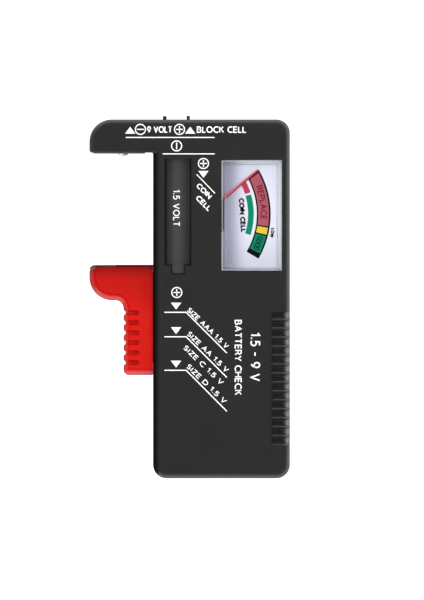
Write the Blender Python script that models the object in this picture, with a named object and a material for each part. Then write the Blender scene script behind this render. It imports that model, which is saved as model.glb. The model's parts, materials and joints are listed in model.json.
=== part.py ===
"""A hand-held battery tester: an analogue meter in a two-part case, with a sliding jaw.

Frame: the origin is the centre of the flat back. +X points to the ribbed grip side, +Y to the
fixed jaw and the 9 V contacts, and +Z out of the front, so the tester lies on its back.
"""

import math

import bmesh
import bpy
from mathutils import Vector

MM = 0.001
GAP = 0.3 * MM  # clearance between neighbouring pieces
TOUCH = 0.1 * MM  # clearance between small pieces that bear on each other
SHARP = math.radians(35)
SMALLEST_RADIUS = 0.1 * MM

# Case
BODY_WIDTH = 40.4 * MM
BODY_LENGTH = 106.0 * MM
BODY_DEPTH = 25.0 * MM
ARM_REACH = 18.8 * MM
ARM_HEIGHT = 9.8 * MM
WALL = 1.6 * MM
FACE_WALL = 1.8 * MM
FILLET = 1.6 * MM
FILLET_SHARES = (1.0, 1.0, 1.0, 1.0, 1.0, 1.5)  # the jaw side's fillet is wider
SPLIT_Z = 12.0 * MM
LIP_HEIGHT = 1.2 * MM
LIP_INSET = 1.0 * MM
CORNER_STEPS = 6
FILLET_STEPS = 3

RIGHT = BODY_WIDTH / 2
LEFT = -RIGHT
TOP = BODY_LENGTH / 2
BOTTOM = -TOP
ARM_TIP = LEFT - ARM_REACH
ARM_UNDER = TOP - ARM_HEIGHT
SEAM_Z = SPLIT_Z + GAP / 2

# Front face
WINDOW_X = (-0.2 * MM, 17.8 * MM)
WINDOW_Y = (8.2 * MM, 41.2 * MM)
LENS_GAP = 0.15 * MM
TROUGH_X = -12.95 * MM
TROUGH_WIDTH = 7.6 * MM
TROUGH_Y = (9.9 * MM, 41.4 * MM)
TROUGH_DEPTH = 2.4 * MM
TROUGH_RADIUS = 5.0 * MM
NUB_WIDTH = 3.4 * MM
NUB_END_Y = 7.6 * MM
TROUGH_FLOOR = 0.9 * MM
RIB_COUNT = 15
RIB_PITCH = 2.645 * MM
RIB_FIRST_Y = -4.8 * MM
RIB_START_X = 14.25 * MM
RIB_WIDTH = 1.7 * MM
RIB_DEPTH = 0.9 * MM
RIB_SIDE_DEPTH = 0.6 * MM
RIB_SIDE_Z = 14.5 * MM

# Slider
SLIDER_TOP = 10.05 * MM
SLIDER_BOTTOM = -22.5 * MM
SLIDER_Z = (3.6 * MM, 21.4 * MM)
SLIDER_FILLET = 1.3 * MM
JAW_HEIGHT = 10.45 * MM
JAW_RADIUS = 6.8 * MM
JAW_TOP_RADIUS = 1.8 * MM
NECK_RADIUS = 2.4 * MM
GRIP_X = -28.9 * MM
TRAVEL_UP = 31.8 * MM
TRAVEL_DOWN = 30.3 * MM
STEM_Y = (-19.0 * MM, 7.75 * MM)
STEM_HEIGHT = 4.9 * MM
CARRIAGE_THICKNESS = 1.7 * MM
CARRIAGE_HEIGHT = 10.0 * MM
STRIP = 0.4 * MM
GRIP_GROOVES = 6
GRIP_GROOVE_PITCH = 2.95 * MM
GRIP_GROOVE_FIRST_Y = -4.1 * MM
GRIP_GROOVE_WIDTH = 1.35 * MM
GRIP_GROOVE_END_X = -24.2 * MM
GRIP_GROOVE_DEPTH = 0.8 * MM

# Meter
PIVOT = Vector((-4.9 * MM, 25.0 * MM))
POINTER_LENGTH = 20.5 * MM
POINTER_REST = math.radians(39.8)
CASE_X = (-12.4 * MM, 18.3 * MM)
CASE_Y = (7.2 * MM, 42.2 * MM)
CASE_Z = (3.4 * MM, 19.5 * MM)
CASE_WALL = 1.0 * MM
LENS_BACK_Z = 21.7 * MM
LENS_FLANGE = 1.2 * MM
LENS_SIDE_FLANGE = 0.5 * MM
LENS_BEVEL = 1.3 * MM
LENS_BEVEL_DEPTH = 0.5 * MM
DIAL_LEFT = -3.3 * MM
DIAL_Z = (19.6 * MM, 20.0 * MM)
DIAL_CUT_RADIUS = 6.3 * MM
POINTER_Z = 20.7 * MM
HUB_Z = 17.3 * MM
CORE_RADIUS = 3.5 * MM
YOKE_RADIUS = 6.2 * MM
YOKE_BORE = 5.1 * MM
COIL_SIDE = 0.7 * MM
COIL_END = 0.9 * MM

# Fasteners, contacts and electronics
SCREWS = ((-27.5 * MM, 48.1 * MM), (15.0 * MM, 48.0 * MM), (-6.5 * MM, -47.0 * MM), (15.0 * MM, -47.0 * MM))
SCREW_HEAD_Z = 2.2 * MM
SCREW_LENGTH = 16.0 * MM
SCREW_RADIUS = 1.25 * MM
ARM_STRIP_X = (-38.0 * MM, -22.6 * MM)
ARM_STRIP_THICKNESS = 0.3 * MM
ARM_STRIP_WIDTH = 8.0 * MM
ARM_TAB_WIDTH = 3.0 * MM
ARM_TAB_LENGTH = 3.2 * MM
ARM_DOME_X = -29.05 * MM
ARM_DOME_HEIGHT = 0.57 * MM
PIN_PITCH = 12.7 * MM  # the snap contacts of a 9 V battery
PIN_POSITIVE_X = -9.8 * MM
PIN_NEGATIVE_X = -16.75 * MM
PIN_RADIUS = 0.52 * MM
PIN_PROUD = 1.1 * MM
RAIL_X = -14.0 * MM
RAIL_Y = (-47.0 * MM, 46.0 * MM)
RAIL_THICKNESS = 0.5 * MM
RAIL_HEIGHT = 3.4 * MM
BOARD_X = (-9.0 * MM, 13.0 * MM)
BOARD_Y = (-38.0 * MM, -18.0 * MM)
BOARD_Z = (5.0 * MM, 6.2 * MM)
BOARD_POSTS = ((-6.0 * MM, -35.2 * MM), (10.0 * MM, -20.8 * MM))
LEAD_RADIUS = 0.45 * MM
LEAD_SIDES = 6
FLOOR_Z = 1.8 * MM

# Routes of the leads inside the case, in millimetres
ARM_LEAD = (
    (-23.4, 46.55, 12.15), (-23.0, 47.9, 11.7), (-21.3, 48.8, 10.3), (-18.5, 48.2, 6.2), (-14.6, 47.4, 3.2),
    (-10.2, 45.4, 2.7), (-7.5, 42.5, 2.6), (-7.0, 37.0, 2.6), (-7.0, 10.0, 2.6), (-6.6, 4.5, 3.3),
    (-5.8, -6.0, 5.2), (-5.2, -14.5, 8.3), (-5.0, -19.2, 8.6), (-5.0, -20.0, 7.7), (-5.0, -20.1, 6.5),
)  # fmt: skip
NEGATIVE_PIN_LEAD = (
    (-16.75, 48.15, 6.84), (-16.4, 47.0, 7.0), (-14.0, 46.4, 6.6), (-11.0, 46.2, 5.4), (-8.0, 44.9, 3.8),
    (-5.9, 42.9, 2.7), (-5.5, 38.0, 2.6), (-5.5, 10.0, 2.6), (-5.0, 4.5, 3.3), (-3.6, -6.0, 5.2),
    (-2.2, -14.5, 8.3), (-1.8, -19.2, 8.6), (-1.8, -20.0, 7.7), (-1.8, -20.1, 6.5),
)  # fmt: skip
POSITIVE_PIN_LEAD = (
    (-9.8, 48.15, 17.46), (-9.7, 46.9, 17.2), (-8.4, 45.8, 14.5), (-5.4, 45.3, 8.0), (-4.3, 44.9, 4.2),
    (-4.1, 43.6, 2.8), (-4.0, 40.0, 2.6), (-4.0, 10.0, 2.6), (-3.3, 4.5, 3.3), (-1.2, -6.0, 5.2),
    (1.0, -14.5, 8.3), (1.4, -19.2, 8.6), (1.4, -20.0, 7.7), (1.4, -20.1, 6.5),
)  # fmt: skip
RAIL_LEAD = (
    (-13.75, -47.15, 12.15), (-13.6, -48.3, 11.6), (-12.4, -48.8, 10.0), (-11.2, -47.6, 8.6),
    (-10.9, -44.0, 7.6), (-10.9, -37.0, 7.6), (-10.4, -30.0, 8.6), (-9.2, -26.6, 9.0), (-7.6, -26.0, 8.2),
    (-7.4, -26.0, 6.5),
)  # fmt: skip
METER_POSITIVE_LEAD = (
    (6.0, 9.55, 2.62), (6.0, 5.5, 2.62), (5.9, 0.0, 3.6), (5.2, -8.0, 5.8), (4.7, -15.0, 8.3),
    (4.6, -19.2, 8.6), (4.6, -20.0, 7.7), (4.6, -20.1, 6.5),
)  # fmt: skip
METER_NEGATIVE_LEAD = (
    (12.0, 9.55, 2.62), (12.0, 5.5, 2.62), (12.0, 0.0, 3.6), (12.1, -8.0, 5.8), (12.0, -17.0, 8.3),
    (11.7, -24.8, 8.8), (11.5, -25.9, 7.9), (11.5, -26.0, 6.5),
)  # fmt: skip


def material(name, colour, roughness, metallic=0.0, alpha=1.0):
    """A Principled material, made once for each name."""
    found = bpy.data.materials.get(name)
    if found:
        return found
    made = bpy.data.materials.new(name)
    made.use_nodes = True
    shader = made.node_tree.nodes["Principled BSDF"]
    shader.inputs["Base Color"].default_value = (*colour, 1.0)
    shader.inputs["Roughness"].default_value = roughness
    shader.inputs["Metallic"].default_value = metallic
    shader.inputs["Alpha"].default_value = alpha
    return made


def black_plastic():
    return material("black_plastic", (0.031, 0.031, 0.031), 0.5)


def red_plastic():
    return material("red_plastic", (0.67, 0.015, 0.009), 0.3)


def clear_plastic():
    return material("clear_plastic", (0.95, 0.95, 0.97), 0.05, alpha=0.35)


def nickel():
    return material("nickel", (0.75, 0.74, 0.72), 0.2, metallic=1.0)


def brass():
    return material("brass", (0.72, 0.5, 0.2), 0.3, metallic=1.0)


def steel():
    return material("dark_steel", (0.12, 0.12, 0.13), 0.4, metallic=1.0)


def dial_white():
    return material("dial_white", (0.77, 0.77, 0.86), 0.5)


def rounded_outline(corners, steps, inset=0.0, shares=None):
    """Points of a closed anticlockwise polygon with rounded corners (x, y, radius).

    Each edge moves inwards by inset times its share, and the radii follow, so that outlines with
    different insets have matching points.
    """
    count = len(corners)
    shares = shares or [1.0] * count
    places = [Vector(corner[:2]) for corner in corners]
    along = [(places[(i + 1) % count] - places[i]).normalized() for i in range(count)]
    outline = []
    for i, place in enumerate(places):
        before, after = along[i - 1], along[i]
        move_before, move_after = inset * shares[i - 1], inset * shares[i]
        cross = before.x * after.y - before.y * after.x
        corner = place + (after * move_before - before * move_after) / cross
        side = 1 if cross > 0 else -1
        radius = corners[i][2] - side * (move_before + move_after) / 2
        radius = max(radius, SMALLEST_RADIUS)
        turn = math.atan2(cross, before.dot(after))
        normal = Vector((-before.y, before.x)) * side
        centre = corner - before * radius * math.tan(abs(turn) / 2) + normal * radius
        spoke = -normal * radius
        for step in range(steps + 1):
            angle = turn * step / steps
            turned = Vector(
                (
                    spoke.x * math.cos(angle) - spoke.y * math.sin(angle),
                    spoke.x * math.sin(angle) + spoke.y * math.cos(angle),
                )
            )
            outline.append(centre + turned)
    return outline


def ring(outline, z):
    return [(point[0], point[1], z) for point in outline]


def circle(centre, radius, z, sides):
    """A ring of points about a vertical axis."""
    turns = [2 * math.pi * side / sides for side in range(sides)]
    return [(centre[0] + radius * math.cos(a), centre[1] + radius * math.sin(a), z) for a in turns]


def drum(centre, radius, low, high, sides=16):
    """Rings of an upright cylinder."""
    return [circle(centre, radius, low, sides), circle(centre, radius, high, sides)]


def rectangle(x, y, grow=0.0):
    """Corners of an upright rectangle, from (low, high) pairs, each side moved outwards by grow."""
    left, right = x[0] - grow, x[1] + grow
    low, high = y[0] - grow, y[1] + grow
    return [(left, low), (right, low), (right, high), (left, high)]


def block(x, y, z):
    """Rings of a box, from (low, high) pairs."""
    flat = rectangle(x, y)
    return [ring(flat, z[0]), ring(flat, z[1])]


def along_y(rings):
    """The same rings with their height laid along +Y."""
    return [[(x, z, y) for x, y, z in points] for points in rings]


def loft_into(bm, rings, joined=False):
    """Adds the closed surface through the rings: capped, or joined from the last ring to the first."""
    loops = [[bm.verts.new(point) for point in points] for points in rings]
    pairs = list(zip(loops, loops[1:]))
    if joined:
        pairs.append((loops[-1], loops[0]))
    else:
        bm.faces.new(loops[0][::-1])
        bm.faces.new(loops[-1])
    for lower, upper in pairs:
        for i in range(len(lower)):
            j = (i + 1) % len(lower)
            bm.faces.new((lower[i], lower[j], upper[j], upper[i]))


def solid(name, shapes, surface, parent=None, location=(0, 0, 0), joined=False):
    """An object holding one closed shape, or several for a cutter, each given as rings."""
    bm = bmesh.new()
    for rings in shapes:
        loft_into(bm, rings, joined)
    bmesh.ops.recalc_face_normals(bm, faces=bm.faces)
    mesh = bpy.data.meshes.new(name)
    bm.to_mesh(mesh)
    bm.free()
    mesh.shade_smooth()
    mesh.set_sharp_from_angle(angle=SHARP)
    mesh.materials.append(surface)
    made = bpy.data.objects.new(name, mesh)
    bpy.context.scene.collection.objects.link(made)
    made.location = location
    made.parent = parent
    return made


def boolean(target, operation, name, shapes):
    """Joins the shapes to the target, or cuts them from it, and hides them as a guide."""
    tool = solid(name, shapes, target.data.materials[0], parent=target)
    tool.hide_render = True
    tool.display_type = "WIRE"
    modifier = target.modifiers.new(name, "BOOLEAN")
    modifier.operation = operation
    modifier.object = tool
    modifier.solver = "EXACT"


def empty(name, location):
    made = bpy.data.objects.new(name, None)
    bpy.context.scene.collection.objects.link(made)
    made.location = location
    return made


def smooth_route(points, steps=4):
    """Points on a Catmull-Rom curve through the given ones."""
    places = [Vector(point) for point in points]
    places = [2 * places[0] - places[1], *places, 2 * places[-1] - places[-2]]
    route = []
    for a, b, c, d in zip(places, places[1:], places[2:], places[3:]):
        slope = c - a
        bend = 2 * a - 5 * b + 4 * c - d
        twist = 3 * b - a - 3 * c + d
        for step in range(steps):
            t = step / steps
            route.append((2 * b + slope * t + bend * t**2 + twist * t**3) / 2)
    route.append(places[-2])
    return route


def sweep(points, radii, sides):
    """Rings of a round section that follows the points, with no twist."""
    places = [Vector(point) for point in points]
    ends = [places[0], *places, places[-1]]
    tangents = [(after - before).normalized() for before, after in zip(ends, ends[2:])]
    across = tangents[0].orthogonal().normalized()
    rings = []
    for place, tangent, radius in zip(places, tangents, radii):
        across = (across - tangent * across.dot(tangent)).normalized()
        up = tangent.cross(across)
        turns = [2 * math.pi * side / sides for side in range(sides)]
        rings.append([place + across * radius * math.cos(a) + up * radius * math.sin(a) for a in turns])
    return rings


def strip_rings(path, thickness):
    """Rings of a flat strip: path holds (x, y, low z, high z) along its middle."""
    places = [Vector(point[:2]) for point in path]
    ends = [places[0], *places, places[-1]]
    rings = []
    for place, before, after, point in zip(places, ends, ends[2:], path):
        tangent = (after - before).normalized()
        out = Vector((-tangent.y, tangent.x)) * thickness / 2
        upper, lower = place + out, place - out
        rings.append([(*upper, point[2]), (*lower, point[2]), (*lower, point[3]), (*upper, point[3])])
    return rings


# --- Case ---------------------------------------------------------------------------------------


def case_outline(inset=0.0, shares=None):
    corners = [
        (LEFT, BOTTOM, 4.0 * MM),
        (RIGHT, BOTTOM, 4.0 * MM),
        (RIGHT, TOP, 4.0 * MM),
        (ARM_TIP, TOP, 6.6 * MM),
        (ARM_TIP, ARM_UNDER, 0.8 * MM),
        (LEFT, ARM_UNDER, 0.5 * MM),
    ]
    return rounded_outline(corners, CORNER_STEPS, inset, shares)


def fillet_rings(face_z, side_z):
    """Rings of the rounded outer edge, from the straight side to the flat face."""
    rings = []
    for step in range(FILLET_STEPS + 1):
        angle = math.pi / 2 * step / FILLET_STEPS
        inset = FILLET * (1 - math.cos(angle))
        height = side_z + (face_z - side_z) * math.sin(angle)
        rings.append(ring(case_outline(inset, FILLET_SHARES), height))
    return rings


def slot_cutter():
    """The slot in the jaw side's wall that the slider's stem runs in."""
    half = STEM_HEIGHT / 2 + GAP
    y = (STEM_Y[0] - TRAVEL_DOWN - GAP, SLIDER_TOP + TRAVEL_UP + GAP)
    return block((LEFT - MM, LEFT + WALL + 0.6 * MM), y, (SEAM_Z - half, SEAM_Z + half))


def contact_slits():
    """Slits in the arm's lower wall for the fixed contact's two tabs."""
    half = ARM_TAB_WIDTH / 2 + GAP
    z = (SEAM_Z - half, SEAM_Z + half)
    y = (ARM_UNDER - MM, ARM_UNDER + WALL + 0.5 * MM)
    return [block((x - 0.5 * MM, x + 0.5 * MM), y, z) for x in arm_tab_places()]


def arm_tab_places():
    return (ARM_STRIP_X[0] + 1.8 * MM, ARM_STRIP_X[1] - 0.8 * MM)


def pin_places():
    """Name, x and z of each 9 V contact: one in each shell, PIN_PITCH apart on the diagonal."""
    rise = math.sqrt(PIN_PITCH**2 - (PIN_POSITIVE_X - PIN_NEGATIVE_X) ** 2) / 2
    return (
        ("nine_volt_positive_pin", PIN_POSITIVE_X, SEAM_Z + rise),
        ("nine_volt_negative_pin", PIN_NEGATIVE_X, SEAM_Z - rise),
    )


def pin_hole(x, z):
    return along_y(drum((x, z), PIN_RADIUS + 0.2 * MM, TOP - WALL - MM, TOP + MM, 12))


def trough_prism(width, y):
    """The front face's battery-shaped trough: straight sides and a round floor, along Y."""
    steps = 8
    deepest = BODY_DEPTH - TROUGH_DEPTH
    half = math.asin(width / 2 / TROUGH_RADIUS)
    angles = [half * (2 * step / steps - 1) for step in range(steps + 1)]
    centre = (TROUGH_X, deepest + TROUGH_RADIUS)
    spokes = [(TROUGH_RADIUS * math.sin(angle), -TROUGH_RADIUS * math.cos(angle)) for angle in angles]
    floor = [(centre[0] + x, centre[1] + z) for x, z in spokes]
    above = BODY_DEPTH + MM
    section = [*floor, (TROUGH_X + width / 2, above), (TROUGH_X - width / 2, above)]
    return [[(x, height, z) for x, z in section] for height in y]


def stadium(x, y, width, end_x, z):
    """A groove cutter running along X at height y, with a round inner end at end_x."""
    steps = 6
    side = 1 if x > end_x else -1
    radius = width / 2
    angles = [math.pi / 2 + math.pi * step / steps for step in range(steps + 1)]
    flat = [(end_x + side * radius * (1 + math.cos(a)), y + radius * math.sin(a)) for a in angles]
    flat += [(x, y - radius), (x, y + radius)]
    return [ring(flat, z[0]), ring(flat, z[1])]


def front_shell():
    inner_z = BODY_DEPTH - FACE_WALL
    rim_z = SPLIT_Z + GAP
    lip_z = SPLIT_Z + LIP_HEIGHT + GAP
    thin = case_outline(LIP_INSET - GAP)
    rings = [
        ring(case_outline(WALL), inner_z),
        ring(case_outline(WALL), lip_z),
        ring(thin, lip_z),
        ring(thin, rim_z),
        ring(case_outline(), rim_z),
        *fillet_rings(BODY_DEPTH, BODY_DEPTH - FILLET),
    ]
    shell = solid("front_shell", [rings], black_plastic())
    trough_back = block(
        (LEFT + WALL / 2, TROUGH_X + TROUGH_WIDTH / 2 + MM),
        (NUB_END_Y - MM, TROUGH_Y[1] + MM),
        (BODY_DEPTH - TROUGH_DEPTH - TROUGH_FLOOR, inner_z + 0.3 * MM),
    )
    bosses = [drum(place, 2.9 * MM, rim_z, inner_z + 0.3 * MM) for place in SCREWS]
    boolean(shell, "UNION", "front_bosses", [trough_back, *bosses])
    holes = [drum(place, SCREW_RADIUS + 0.2 * MM, rim_z - MM, 20.0 * MM, 12) for place in SCREWS]
    frame = rectangle(WINDOW_X, WINDOW_Y, LENS_GAP)
    window = [ring(frame, inner_z - MM), ring(frame, BODY_DEPTH + MM)]
    _, pin_x, pin_z = pin_places()[0]
    openings = [window, *contact_slits(), slot_cutter(), pin_hole(pin_x, pin_z)]
    boolean(shell, "DIFFERENCE", "front_holes", [*holes, *openings])
    boolean(shell, "DIFFERENCE", "trough", [trough_prism(TROUGH_WIDTH, TROUGH_Y)])
    boolean(shell, "DIFFERENCE", "trough_nub", [trough_prism(NUB_WIDTH, (NUB_END_Y, TROUGH_Y[0] + MM))])
    ys = [RIB_FIRST_Y - RIB_PITCH * rib for rib in range(RIB_COUNT)]
    face_z = (BODY_DEPTH - RIB_DEPTH, BODY_DEPTH + MM)
    grooves = [stadium(RIGHT + MM, y, RIB_WIDTH, RIB_START_X, face_z) for y in ys]
    boolean(shell, "DIFFERENCE", "face_grooves", grooves)
    half = RIB_WIDTH / 2
    side_x = (RIGHT - RIB_SIDE_DEPTH, RIGHT + MM)
    sides = [block(side_x, (y - half, y + half), (RIB_SIDE_Z, BODY_DEPTH + MM)) for y in ys]
    boolean(shell, "DIFFERENCE", "side_grooves", sides)
    return shell


def rear_shell():
    rings = [
        ring(case_outline(WALL), FLOOR_Z),
        ring(case_outline(WALL), SPLIT_Z + LIP_HEIGHT),
        ring(case_outline(LIP_INSET), SPLIT_Z + LIP_HEIGHT),
        ring(case_outline(LIP_INSET), SPLIT_Z),
        ring(case_outline(), SPLIT_Z),
        *fillet_rings(0.0, FILLET),
    ]
    shell = solid("rear_shell", [rings], black_plastic())
    root_z = FLOOR_Z - 0.5 * MM
    posts = [drum(place, 3.1 * MM, root_z, SPLIT_Z) for place in SCREWS]
    for x, y in BOARD_POSTS:
        post = (2.0 * MM, root_z, BOARD_Z[0] - TOUCH)
        peg = (0.8 * MM, BOARD_Z[0] - TOUCH, BOARD_Z[1] + 0.8 * MM)
        posts.append(
            [
                circle((x, y), post[0], post[1], 12),
                circle((x, y), post[0], post[2], 12),
                circle((x, y), peg[0], peg[1], 12),
                circle((x, y), peg[0], peg[2], 12),
            ]
        )
    rail_back = RAIL_X + RAIL_THICKNESS + TOUCH
    for y in (-45.0 * MM, -21.0 * MM, 3.5 * MM, 44.5 * MM):
        top = SEAM_Z + RAIL_HEIGHT / 2
        posts.append(block((rail_back, rail_back + 1.2 * MM), (y - 1.2 * MM, y + 1.2 * MM), (root_z, top)))
    for x in (CASE_X[0] + 3 * MM, CASE_X[1] - 3 * MM):
        for y in (CASE_Y[0] + 3 * MM, CASE_Y[1] - 3 * MM):
            posts.append(drum((x, y), 1.4 * MM, root_z, CASE_Z[0] - TOUCH, 10))
    boolean(shell, "UNION", "rear_posts", posts)
    holes = [drum(place, SCREW_RADIUS + 0.2 * MM, -MM, SPLIT_Z + MM, 12) for place in SCREWS]
    _, pin_x, pin_z = pin_places()[1]
    openings = [*contact_slits(), slot_cutter(), pin_hole(pin_x, pin_z)]
    boolean(shell, "DIFFERENCE", "rear_holes", [*holes, *openings])
    wells = [drum(place, 2.6 * MM, -MM, SCREW_HEAD_Z + 1.6 * MM) for place in SCREWS]
    boolean(shell, "DIFFERENCE", "screw_wells", wells)
    return shell


def case_screw(number, place):
    """A pan-head self-tapping screw with a cross recess, its head towards the back."""
    sides = 12
    head = 2.3 * MM
    profile = [
        (0.9 * MM, 0.0),
        (1.8 * MM, 0.25 * MM),
        (head, 0.9 * MM),
        (head, 1.4 * MM),
        (SCREW_RADIUS, 1.4 * MM),
        (SCREW_RADIUS, SCREW_LENGTH - 1.5 * MM),
        (0.3 * MM, SCREW_LENGTH),
    ]
    rings = [circle((0, 0), radius, height, sides) for radius, height in profile]
    location = (*place, SCREW_HEAD_Z)
    screw = solid(f"case_screw_{number}", [rings], steel(), location=location)
    long, thin, depth = 1.2 * MM, 0.3 * MM, 0.8 * MM
    flat = [
        (long, -thin), (long, thin), (thin, thin), (thin, long), (-thin, long), (-thin, thin),
        (-long, thin), (-long, -thin), (-thin, -thin), (-thin, -long), (thin, -long), (thin, -thin),
    ]  # fmt: skip
    cross = [ring(flat, -MM), ring(flat, depth)]
    boolean(screw, "DIFFERENCE", f"cross_recess_{number}", [cross])


# --- Slider and its contact ---------------------------------------------------------------------


def slider_outline(inset=0.0):
    """The jaw and grip seen from the front. The edge against the case takes no fillet."""
    side = LEFT - GAP
    top = SLIDER_TOP - STRIP - TOUCH
    jaw_bottom = SLIDER_TOP - JAW_HEIGHT
    corners = [
        (side, SLIDER_BOTTOM, 0.3 * MM),
        (side, top, 0.3 * MM),
        (ARM_TIP, top, JAW_TOP_RADIUS),
        (ARM_TIP, jaw_bottom, JAW_RADIUS),
        (GRIP_X, jaw_bottom, NECK_RADIUS),
        (GRIP_X, SLIDER_BOTTOM, 1.6 * MM),
    ]
    return rounded_outline(corners, CORNER_STEPS, inset, (0.0, 0.3, 1.0, 1.0, 1.0, 1.0))


def slider_body(axis):
    low, high = SLIDER_Z
    rings = []
    steps = FILLET_STEPS
    for step in range(steps + 1):
        angle = math.pi / 2 * step / steps
        outline = slider_outline(SLIDER_FILLET * (1 - math.sin(angle)))
        rings.append(ring(outline, low + SLIDER_FILLET * (1 - math.cos(angle))))
    for step in range(steps + 1):
        angle = math.pi / 2 * step / steps
        outline = slider_outline(SLIDER_FILLET * (1 - math.cos(angle)))
        rings.append(ring(outline, high - SLIDER_FILLET * (1 - math.sin(angle))))
    body = solid("slider_body", [rings], red_plastic(), parent=axis, location=-axis.location)
    carriage_x = LEFT + WALL + GAP
    half = CARRIAGE_HEIGHT / 2
    carriage = block((carriage_x, carriage_x + CARRIAGE_THICKNESS), STEM_Y, (SEAM_Z - half, SEAM_Z + half))
    boolean(body, "UNION", "carriage", [carriage])
    half = STEM_HEIGHT / 2
    stem = block((LEFT - MM, carriage_x + MM), (STEM_Y[0], STEM_Y[1]), (SEAM_Z - half, SEAM_Z + half))
    boolean(body, "UNION", "stem", [stem])
    ys = [GRIP_GROOVE_FIRST_Y - GRIP_GROOVE_PITCH * groove for groove in range(GRIP_GROOVES)]
    outside = GRIP_X - 1.5 * MM
    faces = ((low - MM, low + GRIP_GROOVE_DEPTH), (high - GRIP_GROOVE_DEPTH, high + MM))
    cuts = [stadium(outside, y, GRIP_GROOVE_WIDTH, GRIP_GROOVE_END_X, z) for y in ys for z in faces]
    boolean(body, "DIFFERENCE", "grip_face_grooves", cuts)
    half = GRIP_GROOVE_WIDTH / 2
    side_x = (outside, GRIP_X + GRIP_GROOVE_DEPTH)
    cuts = [block(side_x, (y - half, y + half), (low - MM, high + MM)) for y in ys]
    boolean(body, "DIFFERENCE", "grip_side_grooves", cuts)
    return body


def slider_contact(axis):
    """One bent strip: the plate on the jaw, a tongue through the slot, and the wiper on the rail."""
    middle = SLIDER_TOP - STRIP / 2
    bend = JAW_TOP_RADIUS + TOUCH + STRIP / 2
    centre = Vector((ARM_TIP + JAW_TOP_RADIUS, SLIDER_TOP - STRIP - TOUCH - JAW_TOP_RADIUS))
    wide, tongue = 7.0 * MM, 1.6 * MM
    path = []
    for step in range(5):
        angle = math.radians(145 - 55 * step / 4)
        place = centre + Vector((math.cos(angle), math.sin(angle))) * bend
        path.append((place.x, place.y, wide))
    path.append((LEFT - 0.7 * MM, middle, wide))
    path.append((LEFT - 0.5 * MM, middle, tongue))
    inner = LEFT + WALL + GAP + CARRIAGE_THICKNESS + TOUCH + STRIP / 2
    corner = 0.8 * MM
    centre = Vector((inner - corner, middle - corner))
    for step in range(4):
        angle = math.radians(90 - 30 * step)
        place = centre + Vector((math.cos(angle), math.sin(angle))) * corner
        path.append((place.x, place.y, tongue))
    reach = RAIL_X - TOUCH - STRIP / 2
    path += [
        (inner, 6.0 * MM, tongue),
        (reach - 0.4 * MM, 3.4 * MM, tongue),
        (reach, 2.2 * MM, tongue),
        (reach - 0.4 * MM, 1.0 * MM, tongue),
        (inner, -1.6 * MM, tongue),
        (inner, -6.0 * MM, tongue),
    ]
    rings = strip_rings([(x, y, SEAM_Z - half, SEAM_Z + half) for x, y, half in path], STRIP)
    return solid("slider_contact", [rings], nickel(), parent=axis, location=-axis.location)


# --- Fixed contacts -----------------------------------------------------------------------------


def arm_contact():
    """The fixed jaw's negative contact: a strip with a dome, held by two tabs in the case seam."""
    top = ARM_UNDER - TOUCH
    bottom = top - ARM_STRIP_THICKNESS
    half = ARM_STRIP_WIDTH / 2
    plate = block(ARM_STRIP_X, (bottom, top), (SEAM_Z - half, SEAM_Z + half))
    strip = solid("arm_contact", [plate], nickel())
    half = ARM_TAB_WIDTH / 2
    tab_y = (bottom + TOUCH, ARM_UNDER + ARM_TAB_LENGTH)
    tab_z = (SEAM_Z - half, SEAM_Z + half)
    tabs = [block((x - 0.2 * MM, x + 0.2 * MM), tab_y, tab_z) for x in arm_tab_places()]
    boolean(strip, "UNION", "contact_tabs", tabs)
    profile = [
        (1.5 * MM, bottom + TOUCH),
        (1.3 * MM, bottom - 0.25 * MM),
        (0.8 * MM, bottom - 0.5 * MM),
        (0.4 * MM, bottom - ARM_DOME_HEIGHT),
    ]
    dome = along_y([circle((ARM_DOME_X, SEAM_Z), radius, y, 16) for radius, y in profile])
    boolean(strip, "UNION", "contact_dome", [dome])


def nine_volt_pin(name, x, z):
    """A headed pin through the case's top wall, with a collar and a solder tail inside."""
    inner = TOP - WALL - TOUCH
    profile = [
        (0.35 * MM, TOP + PIN_PROUD),
        (PIN_RADIUS, TOP + PIN_PROUD - 0.2 * MM),
        (PIN_RADIUS, inner),
        (1.3 * MM, inner),
        (1.3 * MM, inner - 0.6 * MM),
        (0.4 * MM, inner - 0.6 * MM),
        (0.4 * MM, inner - 3.0 * MM),
    ]
    rings = along_y([circle((0, 0), radius, y, 12) for radius, y in profile])
    return solid(name, [rings], nickel(), location=(x, 0, z))


def contact_rail():
    half = RAIL_HEIGHT / 2
    return solid(
        "contact_rail",
        [block((RAIL_X, RAIL_X + RAIL_THICKNESS), RAIL_Y, (SEAM_Z - half, SEAM_Z + half))],
        brass(),
    )


# --- Meter --------------------------------------------------------------------------------------


def meter_lens():
    """The clear window: a flange behind the face, and a block with bevelled edges in the opening."""
    seat = BODY_DEPTH - FACE_WALL - TOUCH
    block_outline = rectangle(WINDOW_X, WINDOW_Y)
    flange_x = (WINDOW_X[0] - LENS_FLANGE, WINDOW_X[1] + LENS_SIDE_FLANGE)
    flange_y = (WINDOW_Y[0] - LENS_FLANGE, WINDOW_Y[1] + LENS_FLANGE)
    flange = rectangle(flange_x, flange_y)
    rings = [
        ring(flange, LENS_BACK_Z),
        ring(flange, seat),
        ring(block_outline, seat),
        ring(block_outline, BODY_DEPTH - LENS_BEVEL_DEPTH),
        ring(rectangle(WINDOW_X, WINDOW_Y, -LENS_BEVEL), BODY_DEPTH),
    ]
    return solid("meter_lens", [rings], clear_plastic())


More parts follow.
